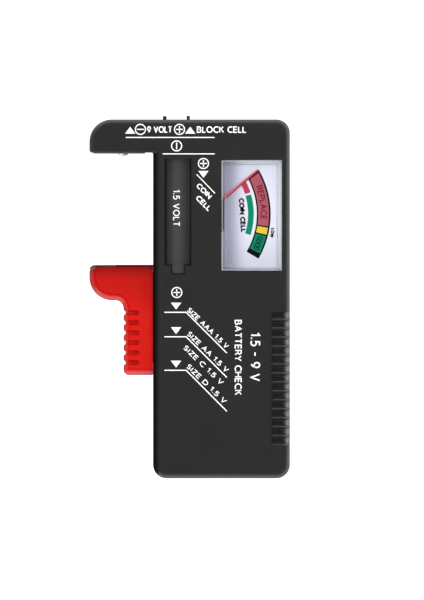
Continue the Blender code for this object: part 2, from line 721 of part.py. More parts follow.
def dial_plate():
    """The printed plate, cut round the movement at its left edge."""
    steps = 10
    half = math.acos((DIAL_LEFT - PIVOT.x) / DIAL_CUT_RADIUS)
    angles = [half * (1 - 2 * step / steps) for step in range(steps + 1)]
    cut = [PIVOT + Vector((math.cos(a), math.sin(a))) * DIAL_CUT_RADIUS for a in angles]
    right = CASE_X[1]
    flat = [(DIAL_LEFT, CASE_Y[1]), *cut, (DIAL_LEFT, CASE_Y[0]), (right, CASE_Y[0]), (right, CASE_Y[1])]
    return solid("dial_plate", [[ring(flat, DIAL_Z[0]), ring(flat, DIAL_Z[1])]], dial_white())


def meter_case():
    """The open-topped box that holds the movement, slotted for its two terminals."""
    inside = rectangle(CASE_X, CASE_Y, -CASE_WALL)
    outside = rectangle(CASE_X, CASE_Y)
    rings = [
        ring(inside, CASE_Z[0] + CASE_WALL),
        ring(inside, CASE_Z[1]),
        ring(outside, CASE_Z[1]),
        ring(outside, CASE_Z[0]),
    ]
    case = solid("meter_case", [rings], black_plastic())
    slots = [
        block((x - 0.6 * MM, x + 0.6 * MM), (y - 1.6 * MM, y + 1.6 * MM), (2 * MM, 5 * MM))
        for x, y in terminal_places()
    ]
    boolean(case, "DIFFERENCE", "terminal_slots", slots)
    return case


def terminal_places():
    return ((6.0 * MM, 11.0 * MM), (12.0 * MM, 11.0 * MM))


def meter_terminal(name, place):
    return solid(
        name,
        [block((-0.3 * MM, 0.3 * MM), (-1.3 * MM, 1.3 * MM), (-1.0 * MM, 2.4 * MM))],
        brass(),
        location=(*place, CASE_Z[0]),
    )


def tube_rings(outer, inner, low, high, sides):
    """Rings of a bored cylinder about the origin, to be joined from the last to the first."""
    centre = (0, 0)
    return [
        circle(centre, inner, low, sides),
        circle(centre, outer, low, sides),
        circle(centre, outer, high, sides),
        circle(centre, inner, high, sides),
    ]


def bridge(name, low, high, parent):
    """A bar across the movement that holds a jewel screw."""
    half = 1.5 * MM
    bar = solid(name, [block((-half, half), (-9.3 * MM, 9.3 * MM), (low, high))], brass(), parent=parent)
    boolean(bar, "DIFFERENCE", f"{name}_hole", [drum((0, 0), 1.15 * MM, low - MM, high + MM, 12)])


def jewel_screw(name, low, high, slot_up, parent):
    screw = solid(name, [drum((0, 0), 0.95 * MM, low, high, 12)], brass(), parent=parent)
    end = high if slot_up else low
    slot = block((-2 * MM, 2 * MM), (-0.15 * MM, 0.15 * MM), (end - 0.4 * MM, end + 0.4 * MM))
    boolean(screw, "DIFFERENCE", f"{name}_slot", [slot])


def hairspring(name, z, direction, parent):
    """A flat spiral from the staff out to the bridge's anchor."""
    turns, sides = 3, 12
    steps = turns * sides
    inner, outer = 0.75 * MM, 2.9 * MM
    path = []
    for step in range(steps + 1):
        share = step / steps
        radius = inner + (outer - inner) * share
        angle = direction * 2 * math.pi * turns * share
        path.append((radius * math.cos(angle), radius * math.sin(angle), z, z + 0.3 * MM))
    return solid(name, [strip_rings(path, 0.12 * MM)], brass(), parent=parent)


def moving_coil(parent):
    """A rectangular winding that stands round the core magnet, turned with the pointer."""
    reach, half = 4.6 * MM, 0.8 * MM
    bottom, top = 7.1 * MM, 16.9 * MM
    outer = rectangle((-reach, reach), (bottom, top))
    inner = rectangle((-reach + COIL_SIDE, reach - COIL_SIDE), (bottom + COIL_END, top - COIL_END))
    outlines = ((inner, -half), (outer, -half), (outer, half), (inner, half))
    rings = [[(x, y, z) for x, z in outline] for outline, y in outlines]
    copper = material("copper_winding", (0.45, 0.16, 0.06), 0.4, metallic=1.0)
    coil = solid("moving_coil", [rings], copper, parent=parent, joined=True)
    coil.rotation_euler.z = POINTER_REST


def pointer(parent):
    """The needle: a cranked blade that rises through the dial's cut-out, with a counterweight tail."""
    red = material("pointer_red", (0.6, 0.03, 0.05), 0.4)
    thickness = 0.25 * MM
    blade = [
        (-4.2 * MM, 0.9 * MM, HUB_Z),
        (-3.0 * MM, 0.9 * MM, HUB_Z),
        (-2.6 * MM, 0.35 * MM, HUB_Z),
        (-1.0 * MM, 0.5 * MM, HUB_Z),
        (1.0 * MM, 0.5 * MM, HUB_Z),
        (3.4 * MM, 0.4 * MM, HUB_Z),
        (5.6 * MM, 0.34 * MM, POINTER_Z),
        (POINTER_LENGTH - 0.3 * MM, 0.2 * MM, POINTER_Z),
        (POINTER_LENGTH, 0.08 * MM, POINTER_Z),
    ]
    sections = [(x, rectangle((-half, half), (z, z + thickness))) for x, half, z in blade]
    rings = [[(x, y, z) for y, z in corners] for x, corners in sections]
    needle = solid("pointer", [rings], red, parent=parent)
    needle.rotation_euler.z = POINTER_REST
    hub = drum((0, 0), 1.0 * MM, HUB_Z - TOUCH, HUB_Z + thickness + TOUCH, 12)
    boolean(needle, "UNION", "pointer_hub", [hub])
    boolean(needle, "DIFFERENCE", "hub_bore", [drum((0, 0), 0.45 * MM, HUB_Z - MM, HUB_Z + MM, 10)])


def movement(axis):
    """The fixed magnet system, its bridges and pillars, and what turns with the pointer."""
    solid("core_magnet", [drum((0, 0), CORE_RADIUS, 8.5 * MM, 15.5 * MM, 20)], steel(), parent=axis)
    yoke = tube_rings(YOKE_RADIUS, YOKE_BORE, 8.0 * MM, 16.0 * MM, 24)
    solid("yoke_ring", [yoke], steel(), parent=axis, joined=True)
    for number, side in enumerate((1, -1), start=1):
        y = sorted((side * (CORE_RADIUS + 0.15 * MM), side * (YOKE_BORE - 0.15 * MM)))
        spacer = block((-1.0 * MM, 1.0 * MM), y, (9 * MM, 15 * MM))
        solid(f"core_spacer_{number}", [spacer], brass(), parent=axis)
        pillar = drum((0, side * 8.5 * MM), 0.85 * MM, 5.9 * MM, 18.4 * MM, 10)
        solid(f"movement_pillar_{number}", [pillar], brass(), parent=axis)
    bridge("lower_bridge", 4.5 * MM, 5.8 * MM, axis)
    bridge("upper_bridge", 18.5 * MM, 19.2 * MM, axis)
    jewel_screw("lower_jewel_screw", 4.6 * MM, 6.2 * MM, False, axis)
    jewel_screw("upper_jewel_screw", 18.1 * MM, 20.0 * MM, True, axis)
    hairspring("lower_hairspring", 6.5 * MM, 1, axis)
    hairspring("upper_hairspring", 17.7 * MM, -1, axis)
    moving_coil(axis)
    pointer(axis)
    solid("lower_staff", [drum((0, 0), 0.35 * MM, 6.3 * MM, 7.0 * MM, 8)], steel(), parent=axis)
    solid("upper_staff", [drum((0, 0), 0.35 * MM, 17.0 * MM, 18.0 * MM, 8)], steel(), parent=axis)


# --- Electronics --------------------------------------------------------------------------------


def circuit_board():
    green = material("board_green", (0.03, 0.16, 0.06), 0.4)
    board = solid("circuit_board", [block(BOARD_X, BOARD_Y, BOARD_Z)], green)
    holes = [drum(place, 1.0 * MM, BOARD_Z[0] - MM, BOARD_Z[1] + MM, 12) for place in BOARD_POSTS]
    boolean(board, "DIFFERENCE", "board_holes", holes)


def resistor(number, y):
    """An axial resistor standing on the board on its two bent leads."""
    colour = material("resistor_body", (0.55, 0.42, 0.26), 0.5)
    lift = 2.0 * MM
    half = [
        (6.0 * MM, 0.0, 0.3 * MM),
        (6.0 * MM, 1.4 * MM, 0.3 * MM),
        (5.4 * MM, lift, 0.3 * MM),
        (3.5 * MM, lift, 0.3 * MM),
        (3.3 * MM, lift, 1.1 * MM),
        (2.2 * MM, lift, 1.25 * MM),
        (1.8 * MM, lift, 1.0 * MM),
    ]
    path = [(-x, z, radius) for x, z, radius in half] + half[::-1]
    rings = sweep([(x, 0, z) for x, z, _ in path], [radius for _, _, radius in path], 10)
    middle = sum(BOARD_X) / 2
    solid(f"resistor_{number}", [rings], colour, location=(middle, y, BOARD_Z[1] + TOUCH))


def lead(name, colour, points):
    """A short insulated wire inside the case."""
    tint = {"red": (0.5, 0.02, 0.02), "black": (0.02, 0.02, 0.02)}[colour]
    insulation = material(f"insulation_{colour}", tint, 0.5)
    route = smooth_route([Vector(point) * MM for point in points])
    solid(name, [sweep(route, [LEAD_RADIUS] * len(route), LEAD_SIDES)], insulation)


def leads():
    """Wires from each contact and meter terminal to pads on the board."""
    for name, colour, points in (
        ("arm_lead", "black", ARM_LEAD),
        ("negative_pin_lead", "black", NEGATIVE_PIN_LEAD),
        ("positive_pin_lead", "red", POSITIVE_PIN_LEAD),
        ("rail_lead", "red", RAIL_LEAD),
        ("meter_positive_lead", "red", METER_POSITIVE_LEAD),
        ("meter_negative_lead", "black", METER_NEGATIVE_LEAD),
    ):
        lead(name, colour, points)


def main():
    for leftover in list(bpy.data.objects):
        bpy.data.objects.remove(leftover)
    front_shell()
    rear_shell()
    for number, place in enumerate(SCREWS, start=1):
        case_screw(number, place)
    slider_axis = empty("slider_axis", (LEFT, 0, SEAM_Z))
    slider_body(slider_axis)
    slider_contact(slider_axis)
    arm_contact()
    for name, x, z in pin_places():
        nine_volt_pin(name, x, z)
    contact_rail()
    meter_lens()
    dial_plate()
    meter_case()
    for name, place in zip(("meter_terminal_positive", "meter_terminal_negative"), terminal_places()):
        meter_terminal(name, place)
    movement(empty("pointer_axis", (*PIVOT, 0)))
    circuit_board()
    for number, y in enumerate((-23.5, -28.5, -33.5), start=1):
        resistor(number, y * MM)
    leads()


main()
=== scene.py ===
"""The battery tester's looks: fine mouldings, printed marks, the meter behind its window, a pale studio."""

import json
import math

import bmesh
import bpy
from mathutils import Matrix, Vector


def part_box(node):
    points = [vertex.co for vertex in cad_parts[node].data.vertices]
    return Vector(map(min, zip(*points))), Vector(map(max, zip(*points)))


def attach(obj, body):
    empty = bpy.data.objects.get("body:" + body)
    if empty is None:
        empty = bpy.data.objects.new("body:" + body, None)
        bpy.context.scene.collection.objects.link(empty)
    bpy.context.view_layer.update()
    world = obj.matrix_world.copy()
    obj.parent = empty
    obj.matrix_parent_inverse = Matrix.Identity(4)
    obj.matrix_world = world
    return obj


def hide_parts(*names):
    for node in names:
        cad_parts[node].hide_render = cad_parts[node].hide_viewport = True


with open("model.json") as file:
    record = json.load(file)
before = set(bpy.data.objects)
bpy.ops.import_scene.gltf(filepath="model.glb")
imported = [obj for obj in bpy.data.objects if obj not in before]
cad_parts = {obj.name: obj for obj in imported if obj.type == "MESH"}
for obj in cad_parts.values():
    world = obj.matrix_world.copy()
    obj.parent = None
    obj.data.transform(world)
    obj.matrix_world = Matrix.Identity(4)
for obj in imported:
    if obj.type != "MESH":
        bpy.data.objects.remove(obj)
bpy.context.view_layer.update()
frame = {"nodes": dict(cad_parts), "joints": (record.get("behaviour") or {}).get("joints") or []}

MM = 0.001
INK = 0.015 * MM  # how far the printing stands proud
GAP = 0.3 * MM
CLOSE = 0.01 * MM  # a gap too small to see
BITE = 0.02 * MM  # how far a contact strip beds into the plastic
SMALLEST_RADIUS = 0.05 * MM
ACROSS = Vector((0, 1, 0))

# Places read from the frame
shell_low, shell_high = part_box("front_shell")
lens_low, lens_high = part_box("meter_lens")
dial_low, dial_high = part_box("dial_plate")
slider_low, slider_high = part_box("slider_body")
contact_low, contact_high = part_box("slider_contact")
arm_low, arm_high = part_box("arm_contact")
rail_low, rail_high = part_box("contact_rail")
screws = {f"case_screw_{number}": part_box(f"case_screw_{number}") for number in range(1, 5)}
joints = {joint["name"]: joint for joint in frame["joints"]}
PIVOT = Vector(joints["pointer_swing"]["pos_m"]).to_2d()
TRAVEL_DOWN, TRAVEL_UP = (abs(limit) for limit in joints["slider_slide"]["range_m"])
SCREW_PLACES = [((low + high) / 2).to_2d() for low, high in screws.values()]
RIGHT, TOP, DEPTH = shell_high
ARM_TIP, BOTTOM, RIM_Z = shell_low
LEFT = -RIGHT
SEAM_Z = (rail_low.z + rail_high.z) / 2

# Case
ARM_UNDER = TOP - 9.8 * MM
WALL = 1.6 * MM
FACE_WALL = 1.8 * MM
FLOOR_WALL = 1.8 * MM
FILLET = 1.6 * MM
# Bottom, right, top, arm tip, under the arm (crisp) and along the jaws (rounder)
FILLET_SHARES = (1.25, 1.0, 1.0, 1.0, 0.2, 1.5)
JAW_EDGE = 2.4 * MM
LIP_INSET = 1.0 * MM
LIP_HEIGHT = 1.2 * MM
SEAM_CHAMFER = 0.15 * MM
CORNER_STEPS = 20
FILLET_STEPS = 10
ROUND_SIDES = 48
TROUGH_X = -12.85 * MM
TROUGH_WIDTH = 7.85 * MM
TROUGH_Y = (9.9 * MM, 41.4 * MM)
TROUGH_DEPTH = 2.4 * MM
TROUGH_RADIUS = 5.0 * MM
CREASE = 0.3 * MM
TROUGH_CREASE_DEPTH = 1.2 * MM
NUB_WIDTH = 4.1 * MM
NUB_CREASE_DEPTH = 0.5 * MM
NUB_END_Y = 7.25 * MM
NUB_RISE = 0.9 * MM
RIB_COUNT = 15
RIB_PITCH = 2.645 * MM
RIB_FIRST_Y = -4.8 * MM
RIB_START_X = 14.25 * MM
RIB_WIDTH = 1.95 * MM
RIB_DEPTH = 0.9 * MM
RIB_FLARE_WIDTH = 1.49 * MM  # a shallow second groove that bevels each lower rim
RIB_FLARE_DEPTH = 0.235 * MM
RIB_FLARE_SHIFT = 0.48 * MM
RIB_SIDE_DEPTH = 0.6 * MM
RIB_SIDE_Z = 14.5 * MM
RIB_CORNER = 1.9 * MM

# Slider
SLIDER_TOP = contact_high.y
SLIDER_FILLET = 2.3 * MM
JAW_HEIGHT = 10.45 * MM
JAW_RADIUS = 6.8 * MM
JAW_TOP_RADIUS = 1.8 * MM
NECK_RADIUS = 2.4 * MM
GRIP_X = -28.9 * MM
GRIP_GROOVES = 6
GRIP_GROOVE_PITCH = 2.95 * MM
GRIP_GROOVE_FIRST_Y = -4.1 * MM
GRIP_GROOVE_WIDTH = 1.35 * MM
GRIP_GROOVE_END_X = -24.2 * MM
GRIP_GROOVE_DEPTH = 0.85 * MM
GRIP_GROOVE_SIDE_DEPTH = 0.6 * MM
GRIP_GROOVE_CORNER = 0.85 * MM
STRIP = 0.4 * MM
PLATE_END_X = -31.2 * MM
STEM_Y = (-19.0 * MM, 7.75 * MM)
STEM_HEIGHT = 4.9 * MM
CARRIAGE_THICKNESS = 1.7 * MM
CARRIAGE_HEIGHT = 10.0 * MM

# Meter
SCALE_CENTRE = Vector((-11.51 * MM, 25.09 * MM))
NEEDLE_REST_DEGREES = 39.8


# --- Mesh helpers ---


def rounded_outline(corners, steps=CORNER_STEPS, inset=0.0, shares=None):
    """Points of an anticlockwise polygon with rounded corners (x, y, radius), moved inwards by inset."""
    count = len(corners)
    shares = shares or [1.0] * count
    places = [Vector(corner[:2]) for corner in corners]
    along = [(places[(i + 1) % count] - places[i]).normalized() for i in range(count)]
    outline = []
    for i, place in enumerate(places):
        before, after = along[i - 1], along[i]
        move_before, move_after = inset * shares[i - 1], inset * shares[i]
        cross = before.x * after.y - before.y * after.x
        corner = place + (after * move_before - before * move_after) / cross
        side = 1 if cross > 0 else -1
        radius = max(corners[i][2] - side * (move_before + move_after) / 2, SMALLEST_RADIUS)
        turn = math.atan2(cross, before.dot(after))
        normal = Vector((-before.y, before.x)) * side
        centre = corner - before * radius * math.tan(abs(turn) / 2) + normal * radius
        spoke = (-normal * radius).to_3d()
        turned = [Matrix.Rotation(turn * step / steps, 3, "Z") @ spoke for step in range(steps + 1)]
        outline += [centre + point.to_2d() for point in turned]
    return outline


def in_mm(*points):
    return [(x * MM, y * MM) for x, y in points]


def ring(outline, z):
    return [(point[0], point[1], z) for point in outline]


def span(middle, reach):
    return middle - reach, middle + reach


def prism(outline, low, high):
    return [ring(outline, low), ring(outline, high)]


def full_turn(sides):
    """The angles of a regular polygon's corners."""
    return [2 * math.pi * side / sides for side in range(sides)]


def circle(centre, radius, z):
    x, y = centre
    return [(x + radius * math.cos(a), y + radius * math.sin(a), z) for a in full_turn(ROUND_SIDES)]


def bow(x, y, across, up, start, end, steps=None):
    """Points on an ellipse about (x, y), between two angles in degrees."""
    steps = steps or max(3, round(abs(end - start) / 15))
    turns = [math.radians(start + (end - start) * step / steps) for step in range(steps + 1)]
    return [(x + across * math.cos(a), y + up * math.sin(a)) for a in turns]


def drum(centre, radius, low, high):
    return [circle(centre, radius, low), circle(centre, radius, high)]


def drums(centres, radius, low, high):
    return [drum(centre, radius, low, high) for centre in centres]


def rectangle(x, y, grow=0.0):
    left, right = x[0] - grow, x[1] + grow
    low, high = y[0] - grow, y[1] + grow
    return [(left, low), (right, low), (right, high), (left, high)]


def block(x, y, z):
    return prism(rectangle(x, y), *z)


def along_y(rings):
    """The same rings with their height laid along +Y."""
    return [[(x, z, y) for x, y, z in points] for points in rings]


def quarter(steps=FILLET_STEPS):
    """Angles from 0 to a right angle."""
    return [math.pi / 2 * step / steps for step in range(steps + 1)]


def round_over(size, steps=FILLET_STEPS):
    """Distances below two faces, along the fillet between them."""
    return [(size * (1 - math.cos(a)), size * (1 - math.sin(a))) for a in quarter(steps)]


def over_edge(start_x, side_x, face_z, corner):
    """A path (x, z) along a face, round a corner and onto the side."""
    out = math.copysign(1.0, side_x - start_x)
    return [(start_x, face_z), *((side_x - out * side, face_z - drop) for drop, side in round_over(corner))]


def tube(path, y, radius):
    """Rings of a round-ended tube that follows the path (x, z) at this y."""
    places = [Vector((x, y, z)) for x, z in path]
    ends = [places[0], *places, places[-1]]
    tangents = [(after - before).normalized() for before, after in zip(ends, ends[2:])]
    caps = quarter(5)[1:-1]
    start, finish = tangents[0] * radius, tangents[-1] * radius
    spine = [(places[0] - start * math.sin(a), tangents[0], radius * math.cos(a)) for a in reversed(caps)]
    spine += [(place, tangent, radius) for place, tangent in zip(places, tangents)]
    spine += [(places[-1] + finish * math.sin(a), tangents[-1], radius * math.cos(a)) for a in caps]
    return [
        [place + (ACROSS * math.cos(a) + tangent.cross(ACROSS) * math.sin(a)) * reach for a in full_turn(24)]
        for place, tangent, reach in spine
    ]


def groove_radius(width, depth):
    """Radius of the tube that cuts a round groove of this width and depth."""
    return (width**2 / 4 + depth**2) / (2 * depth)


def mesh_object(name, shapes, loops=()):
    """An object holding closed shapes, each given as rings. In a loop, the last ring meets the first."""
    bm = bmesh.new()
    for rings, looped in [(shape, False) for shape in shapes] + [(loop, True) for loop in loops]:
        rows = [[bm.verts.new(point) for point in points] for points in rings]
        if looped:
            rows.append(rows[0])
        else:
            bm.faces.new(rows[0][::-1])
            bm.faces.new(rows[-1])
        for lower, upper in zip(rows, rows[1:]):
            for i in range(len(lower)):
                j = (i + 1) % len(lower)
                bm.faces.new((lower[i], lower[j], upper[j], upper[i]))
    bmesh.ops.recalc_face_normals(bm, faces=bm.faces)
    mesh = bpy.data.meshes.new(name)
    bm.to_mesh(mesh)
    bm.free()
    made = bpy.data.objects.new(name, mesh)
    bpy.context.scene.collection.objects.link(made)
    return made


def modify(obj, kind, **settings):
    """Adds a modifier with these settings and applies it."""
    modifier = obj.modifiers.new(kind.lower(), kind)
    for key, value in settings.items():
        setattr(modifier, key, value)
    bpy.context.view_layer.update()
    graph = bpy.context.evaluated_depsgraph_get()
    mesh = bpy.data.meshes.new_from_object(obj.evaluated_get(graph))
    obj.modifiers.clear()
    old = obj.data
    obj.data = mesh
    bpy.data.meshes.remove(old)
    mesh.name = obj.name


def boolean(target, shapes, operation):
    tool = mesh_object("tool", shapes)
    modify(target, "BOOLEAN", operation=operation, object=tool, solver="EXACT")
    bpy.data.objects.remove(tool)


def add(target, shapes):
    boolean(target, shapes, "UNION")


def cut(target, shapes):
    boolean(target, shapes, "DIFFERENCE")


def soften(obj, width):
    """A small radius on every sharp edge."""
    modify(obj, "BEVEL", width=width, segments=2, limit_method="ANGLE", angle_limit=math.radians(40))


def finish_piece(obj, surface, body, slot, *replaced, sharp=35):
    """Smooth shading, the material and the piece's place in the frame."""
    obj.data.shade_smooth()
    obj.data.set_sharp_from_angle(angle=math.radians(sharp))
    modify(obj, "WEIGHTED_NORMAL", keep_sharp=True, weight=100)
    obj.data.materials.clear()
    obj.data.materials.append(surface)
    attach(obj, body)
    if replaced:
        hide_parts(*replaced)


def recolour(obj, surface, chosen):
    """Gives a second material to the faces whose centre is chosen."""
    obj.data.materials.append(surface)
    index = len(obj.data.materials) - 1
    for polygon in obj.data.polygons:
        if chosen(polygon.center):
            polygon.material_index = index


# --- Materials ---


def srgb(red, green, blue):
    """A linear colour from 0 to 255 values."""
    parts = [value / 255 for value in (red, green, blue)]
    return tuple(v / 12.92 if v <= 0.04045 else ((v + 0.055) / 1.055) ** 2.4 for v in parts)


def grey(shade):
    return (shade, shade, shade)


def dimmed(colour, share):
    return tuple(part * share for part in colour)


class Nodes:
    """A node tree with a few shorthand calls."""

    def __init__(self, tree, coordinates):
        self.tree = tree
        self.vector = self.new("TexCoord").outputs[coordinates]
        self.x, self.y, self.z = self.new("SeparateXYZ", Vector=self.vector).outputs

    def new(self, kind, **inputs):
        node = self.tree.nodes.new(f"ShaderNode{kind}")
        for key, value in inputs.items():
            self.feed(value, node.inputs[key])
        return node

    def feed(self, value, socket):
        """Gives a socket a number, a colour or a link."""
        if isinstance(value, bpy.types.NodeSocket):
            self.tree.links.new(value, socket)
        else:
            socket.default_value = (*value, 1.0) if isinstance(value, tuple) else value

    def ramp(self, source, start, end, low=0.0, high=1.0, smooth=False):
        """The source remapped from the start to the end, to run from low to high."""
        node = self.new("MapRange")
        node.interpolation_type = "SMOOTHSTEP" if smooth else "LINEAR"
        for socket, value in zip(node.inputs, (source, start, end, low, high)):
            self.feed(value, socket)
        return node.outputs["Result"]

    def math(self, operation, *values):
        node = self.new("Math")
        node.operation = operation
        for socket, value in zip(node.inputs, values):
            self.feed(value, socket)
        return node.outputs["Value"]

    def mix(self, factor, first, second):
        """A colour between two, each a colour or a socket."""
        node = self.new("Mix")
        node.data_type = "RGBA"
        self.feed(factor, node.inputs["Factor"])
        a, b = (socket for socket in node.inputs if socket.type == "RGBA")
        self.feed(first, a)
        self.feed(second, b)
        return next(socket for socket in node.outputs if socket.type == "RGBA")

    def noise(self, size, detail=3.0, stretch=(1, 1, 1)):
        """Noise whose blobs are about size metres across."""
        mapping = self.new("Mapping", Vector=self.vector, Scale=[part / size for part in stretch])
        texture = self.new("TexNoise", Vector=mapping.outputs["Vector"], Scale=1.0, Detail=detail)
        return texture.outputs["Fac"]


class Surface(Nodes):
    """A Principled material that starts with one colour, one roughness and other settings."""

    def __init__(self, name, colour, roughness, **settings):
        self.material = bpy.data.materials.new(name)
        self.material.use_nodes = True
        super().__init__(self.material.node_tree, "Object")
        self.inputs = self.tree.nodes["Principled BSDF"].inputs
        for key, value in dict(settings, Base_Color=colour, Roughness=roughness).items():
            self.feed(value, self.inputs[key.replace("_", " ")])
        self.normal = None

    def colours(self, factor, first, second):
        self.feed(self.mix(factor, first, second), self.inputs["Base Color"])

    def patchy(self, size, first, second):
        """Two colours in soft patches."""
        self.colours(self.ramp(self.noise(size, 4), 0.3, 0.7), first, second)

    def uneven(self, source, low, high):
        self.feed(self.ramp(source, 0.3, 0.7, low, high), self.inputs["Roughness"])

    def bump(self, height, depth):
        """Adds a bump of this depth in metres on top of those before it."""
        node = self.new("Bump", Distance=depth, Strength=1.0, Height=height)
        if self.normal:
            self.feed(self.normal, node.inputs["Normal"])
        self.normal = node.outputs["Normal"]
        self.feed(self.normal, self.inputs["Normal"])


def black_abs(name, shade, roughness, **settings):
    """Black ABS with a fine spark-eroded grain."""
    surface = Surface(name, grey(shade), roughness, IOR=1.5, **settings)
    surface.patchy(9 * MM, grey(shade * 0.94), grey(shade * 1.06))
    surface.uneven(surface.noise(2.2 * MM, 4), roughness - 0.04, roughness + 0.04)
    surface.bump(surface.noise(0.35 * MM, 2), 0.005 * MM)
    surface.bump(surface.noise(0.12 * MM, 2), 0.003 * MM)
    return surface


def trough_painted_light_and_shade():
    """The same black, with painted light and shade across the trough's round floor: lighter along the
    middle, darker towards the sides.
    """
    surface = black_abs("trough_painted_light_and_shade", 0.04, 0.5, Specular_IOR_Level=0.15)
    half = TROUGH_WIDTH / 2
    left = surface.ramp(surface.x, TROUGH_X - 0.95 * half, TROUGH_X - 0.2 * half)
    right = surface.ramp(surface.x, TROUGH_X + 0.15 * half, TROUGH_X + half, 1.0, 0.25)
    # Painted light and shade: the colour runs from black at the trough's sides to a lighter grey along its
    # middle.
    surface.colours(surface.math("MULTIPLY", left, right), grey(0.0), grey(0.045))
    return surface.material


def edge_painted_shade():
    """The same black without gloss, with painted shade: darker towards the left edge beside the jaws."""
    surface = black_abs("edge_painted_shade", 0.02, 0.42, Specular_IOR_Level=0.0)
    fade = surface.ramp(surface.x, LEFT, LEFT + JAW_EDGE, smooth=True)
    # Painted shade: nearly black at the left edge, fading to the case's black across the edge's width.
    surface.colours(fade, grey(0.002), grey(0.0205))
    return surface.material


def groove_painted_shade_and_highlight():
    """The same black in the grip's grooves: darker as painted shade, and paler towards the side as a painted
    highlight. Towards the side the grooves are also rubbed smoother.
    """
    surface = black_abs("groove_painted_shade_and_highlight", 0.007, 0.5, Specular_IOR_Level=0.32)
    painted_highlight = surface.ramp(surface.x, RIGHT - 1.6 * MM, RIGHT - 0.6 * MM, smooth=True)
    # Painted shade in the grooves, turning to a painted highlight near the side.
    surface.colours(painted_highlight, grey(0.0065), grey(0.11))
    smoothed = surface.ramp(surface.x, RIB_START_X + 2 * MM, RIGHT - 0.4 * MM, 0.5, 0.36)
    surface.feed(smoothed, surface.inputs["Roughness"])
    return surface.material


def red_abs(name, share=1.0):
    """Satin red ABS, with painted shade: darker towards the contact plate at the top of the jaw."""
    surface = Surface(name, (0.5, 0.004, 0.001), 0.16, IOR=1.46)
    patches = surface.ramp(surface.noise(7 * MM, 4), 0.3, 0.7)
    tone = surface.mix(patches, dimmed((0.5, 0.003, 0.001), share), dimmed((0.53, 0.005, 0.002), share))
    # Painted shade: the colour darkens towards the top of the jaw, beside the contact plate.
    near = surface.ramp(surface.y, SLIDER_TOP, SLIDER_TOP - 4 * MM, 0.0, 0.65)
    far = surface.ramp(surface.y, SLIDER_TOP - 7 * MM, SLIDER_TOP - 15 * MM, 0.0, 0.35)
    surface.colours(surface.math("ADD", near, far), dimmed((0.14, 0.002, 0.001), share), tone)
    surface.uneven(surface.noise(1.8 * MM, 4), 0.14, 0.2)
    surface.bump(surface.noise(0.4 * MM, 2), 0.0006 * MM)
    return surface.material


def ink(name, colour):
    """A printed colour, a little uneven."""
    surface = Surface(name, colour, 0.5, Specular_IOR_Level=0.2)
    surface.patchy(0.7 * MM, dimmed(colour, 0.88), colour)
    surface.bump(surface.noise(0.2 * MM, 2), 0.002 * MM)
    return surface.material


def dial_sheet():
    """The satin white of the dial plate, with painted shade: greyer towards the movement on the left and
    towards the bottom.
    """
    surface = Surface("dial_sheet", srgb(228, 230, 245), 0.4)
    near = surface.ramp(surface.x, lens_low.x + 3 * MM, lens_low.x + 9 * MM, 0.0, 0.75, smooth=True)
    far = surface.ramp(surface.x, lens_low.x + 8 * MM, lens_high.x, 0.0, 0.25)
    bottom = surface.ramp(surface.y, lens_low.y + 2 * MM, lens_low.y + 14 * MM, 0.78, 1.0)
    light = surface.math("MULTIPLY", surface.math("ADD", near, far), bottom)
    # Painted shade: the white greys towards the left and the bottom of the window.
    surface.colours(light, srgb(145, 143, 162), srgb(233, 235, 248))
    surface.bump(surface.noise(0.25 * MM, 2), 0.002 * MM)
    return surface.material


def metal(name, colour, low, high, grain=(1, 1, 1), scratch=0.3 * MM):
    """A metal with a drawn or tumbled grain."""
    surface = Surface(name, colour, low, Metallic=1.0)
    streaks = surface.noise(scratch, 5, grain)
    surface.uneven(streaks, low, high)
    surface.bump(streaks, 0.002 * MM)
    surface.patchy(3 * MM, dimmed(colour, 0.8), colour)
    return surface.material


def clear(name, colour, roughness):
    """Clear moulded acrylic."""
    surface = Surface(name, colour, roughness, IOR=1.49, Transmission_Weight=1.0)
    surface.bump(surface.noise(6 * MM, 2), 0.004 * MM)
    return surface.material


def plain(name, colour, roughness, size=0.5 * MM, **settings):
    """Plain plastic or paint, with slight unevenness."""
    surface = Surface(name, colour, roughness, **settings)
    surface.patchy(size, dimmed(colour, 0.75), colour)
    surface.uneven(surface.noise(size * 2), roughness * 0.8, roughness * 1.2)
    surface.bump(surface.noise(size / 3, 2), 0.004 * MM)
    return surface.material


CASE_BLACK = black_abs("black_abs", 0.0122, 0.42).material
GROOVE_PAINTED_SHADE_AND_HIGHLIGHT = groove_painted_shade_and_highlight()
TROUGH_PAINTED_LIGHT_AND_SHADE = trough_painted_light_and_shade()
EDGE_PAINTED_SHADE = edge_painted_shade()
RED = red_abs("red_abs")
# The red dimmed as painted shade in the slider's grip grooves.
GROOVE_RED_PAINTED_SHADE = red_abs("groove_red_painted_shade", 0.76)
# A near-black red with no gloss: painted shadow along the jaw's top edge, under the plate.
LIP_PAINTED_SHADOW = plain("lip_painted_shadow", (0.03, 0.002, 0.001), 0.5, Specular_IOR_Level=0.0)
WHITE_INK = ink("white_ink", grey(0.9))
NICKEL = metal("nickel_plate", (0.80, 0.78, 0.77), 0.4, 0.5, (1, 1, 12))
# Dark metal: the nine-volt pins' black nickel, and painted shade on the contact strip's tongue.
BLACK_NICKEL_AND_PAINTED_SHADE = metal("black_nickel_and_painted_shade", (0.09, 0.09, 0.095), 0.3, 0.4)
STEEL = metal("zinc_steel", (0.42, 0.42, 0.44), 0.3, 0.45)
BRASS = metal("brass", (0.72, 0.5, 0.22), 0.25, 0.4, (1, 8, 1))
COPPER = metal("copper_winding", (0.5, 0.17, 0.06), 0.3, 0.5, (1, 1, 14), 0.6 * MM)
CLEAR = clear("clear_window", (0.97, 0.975, 0.99), 0.0)
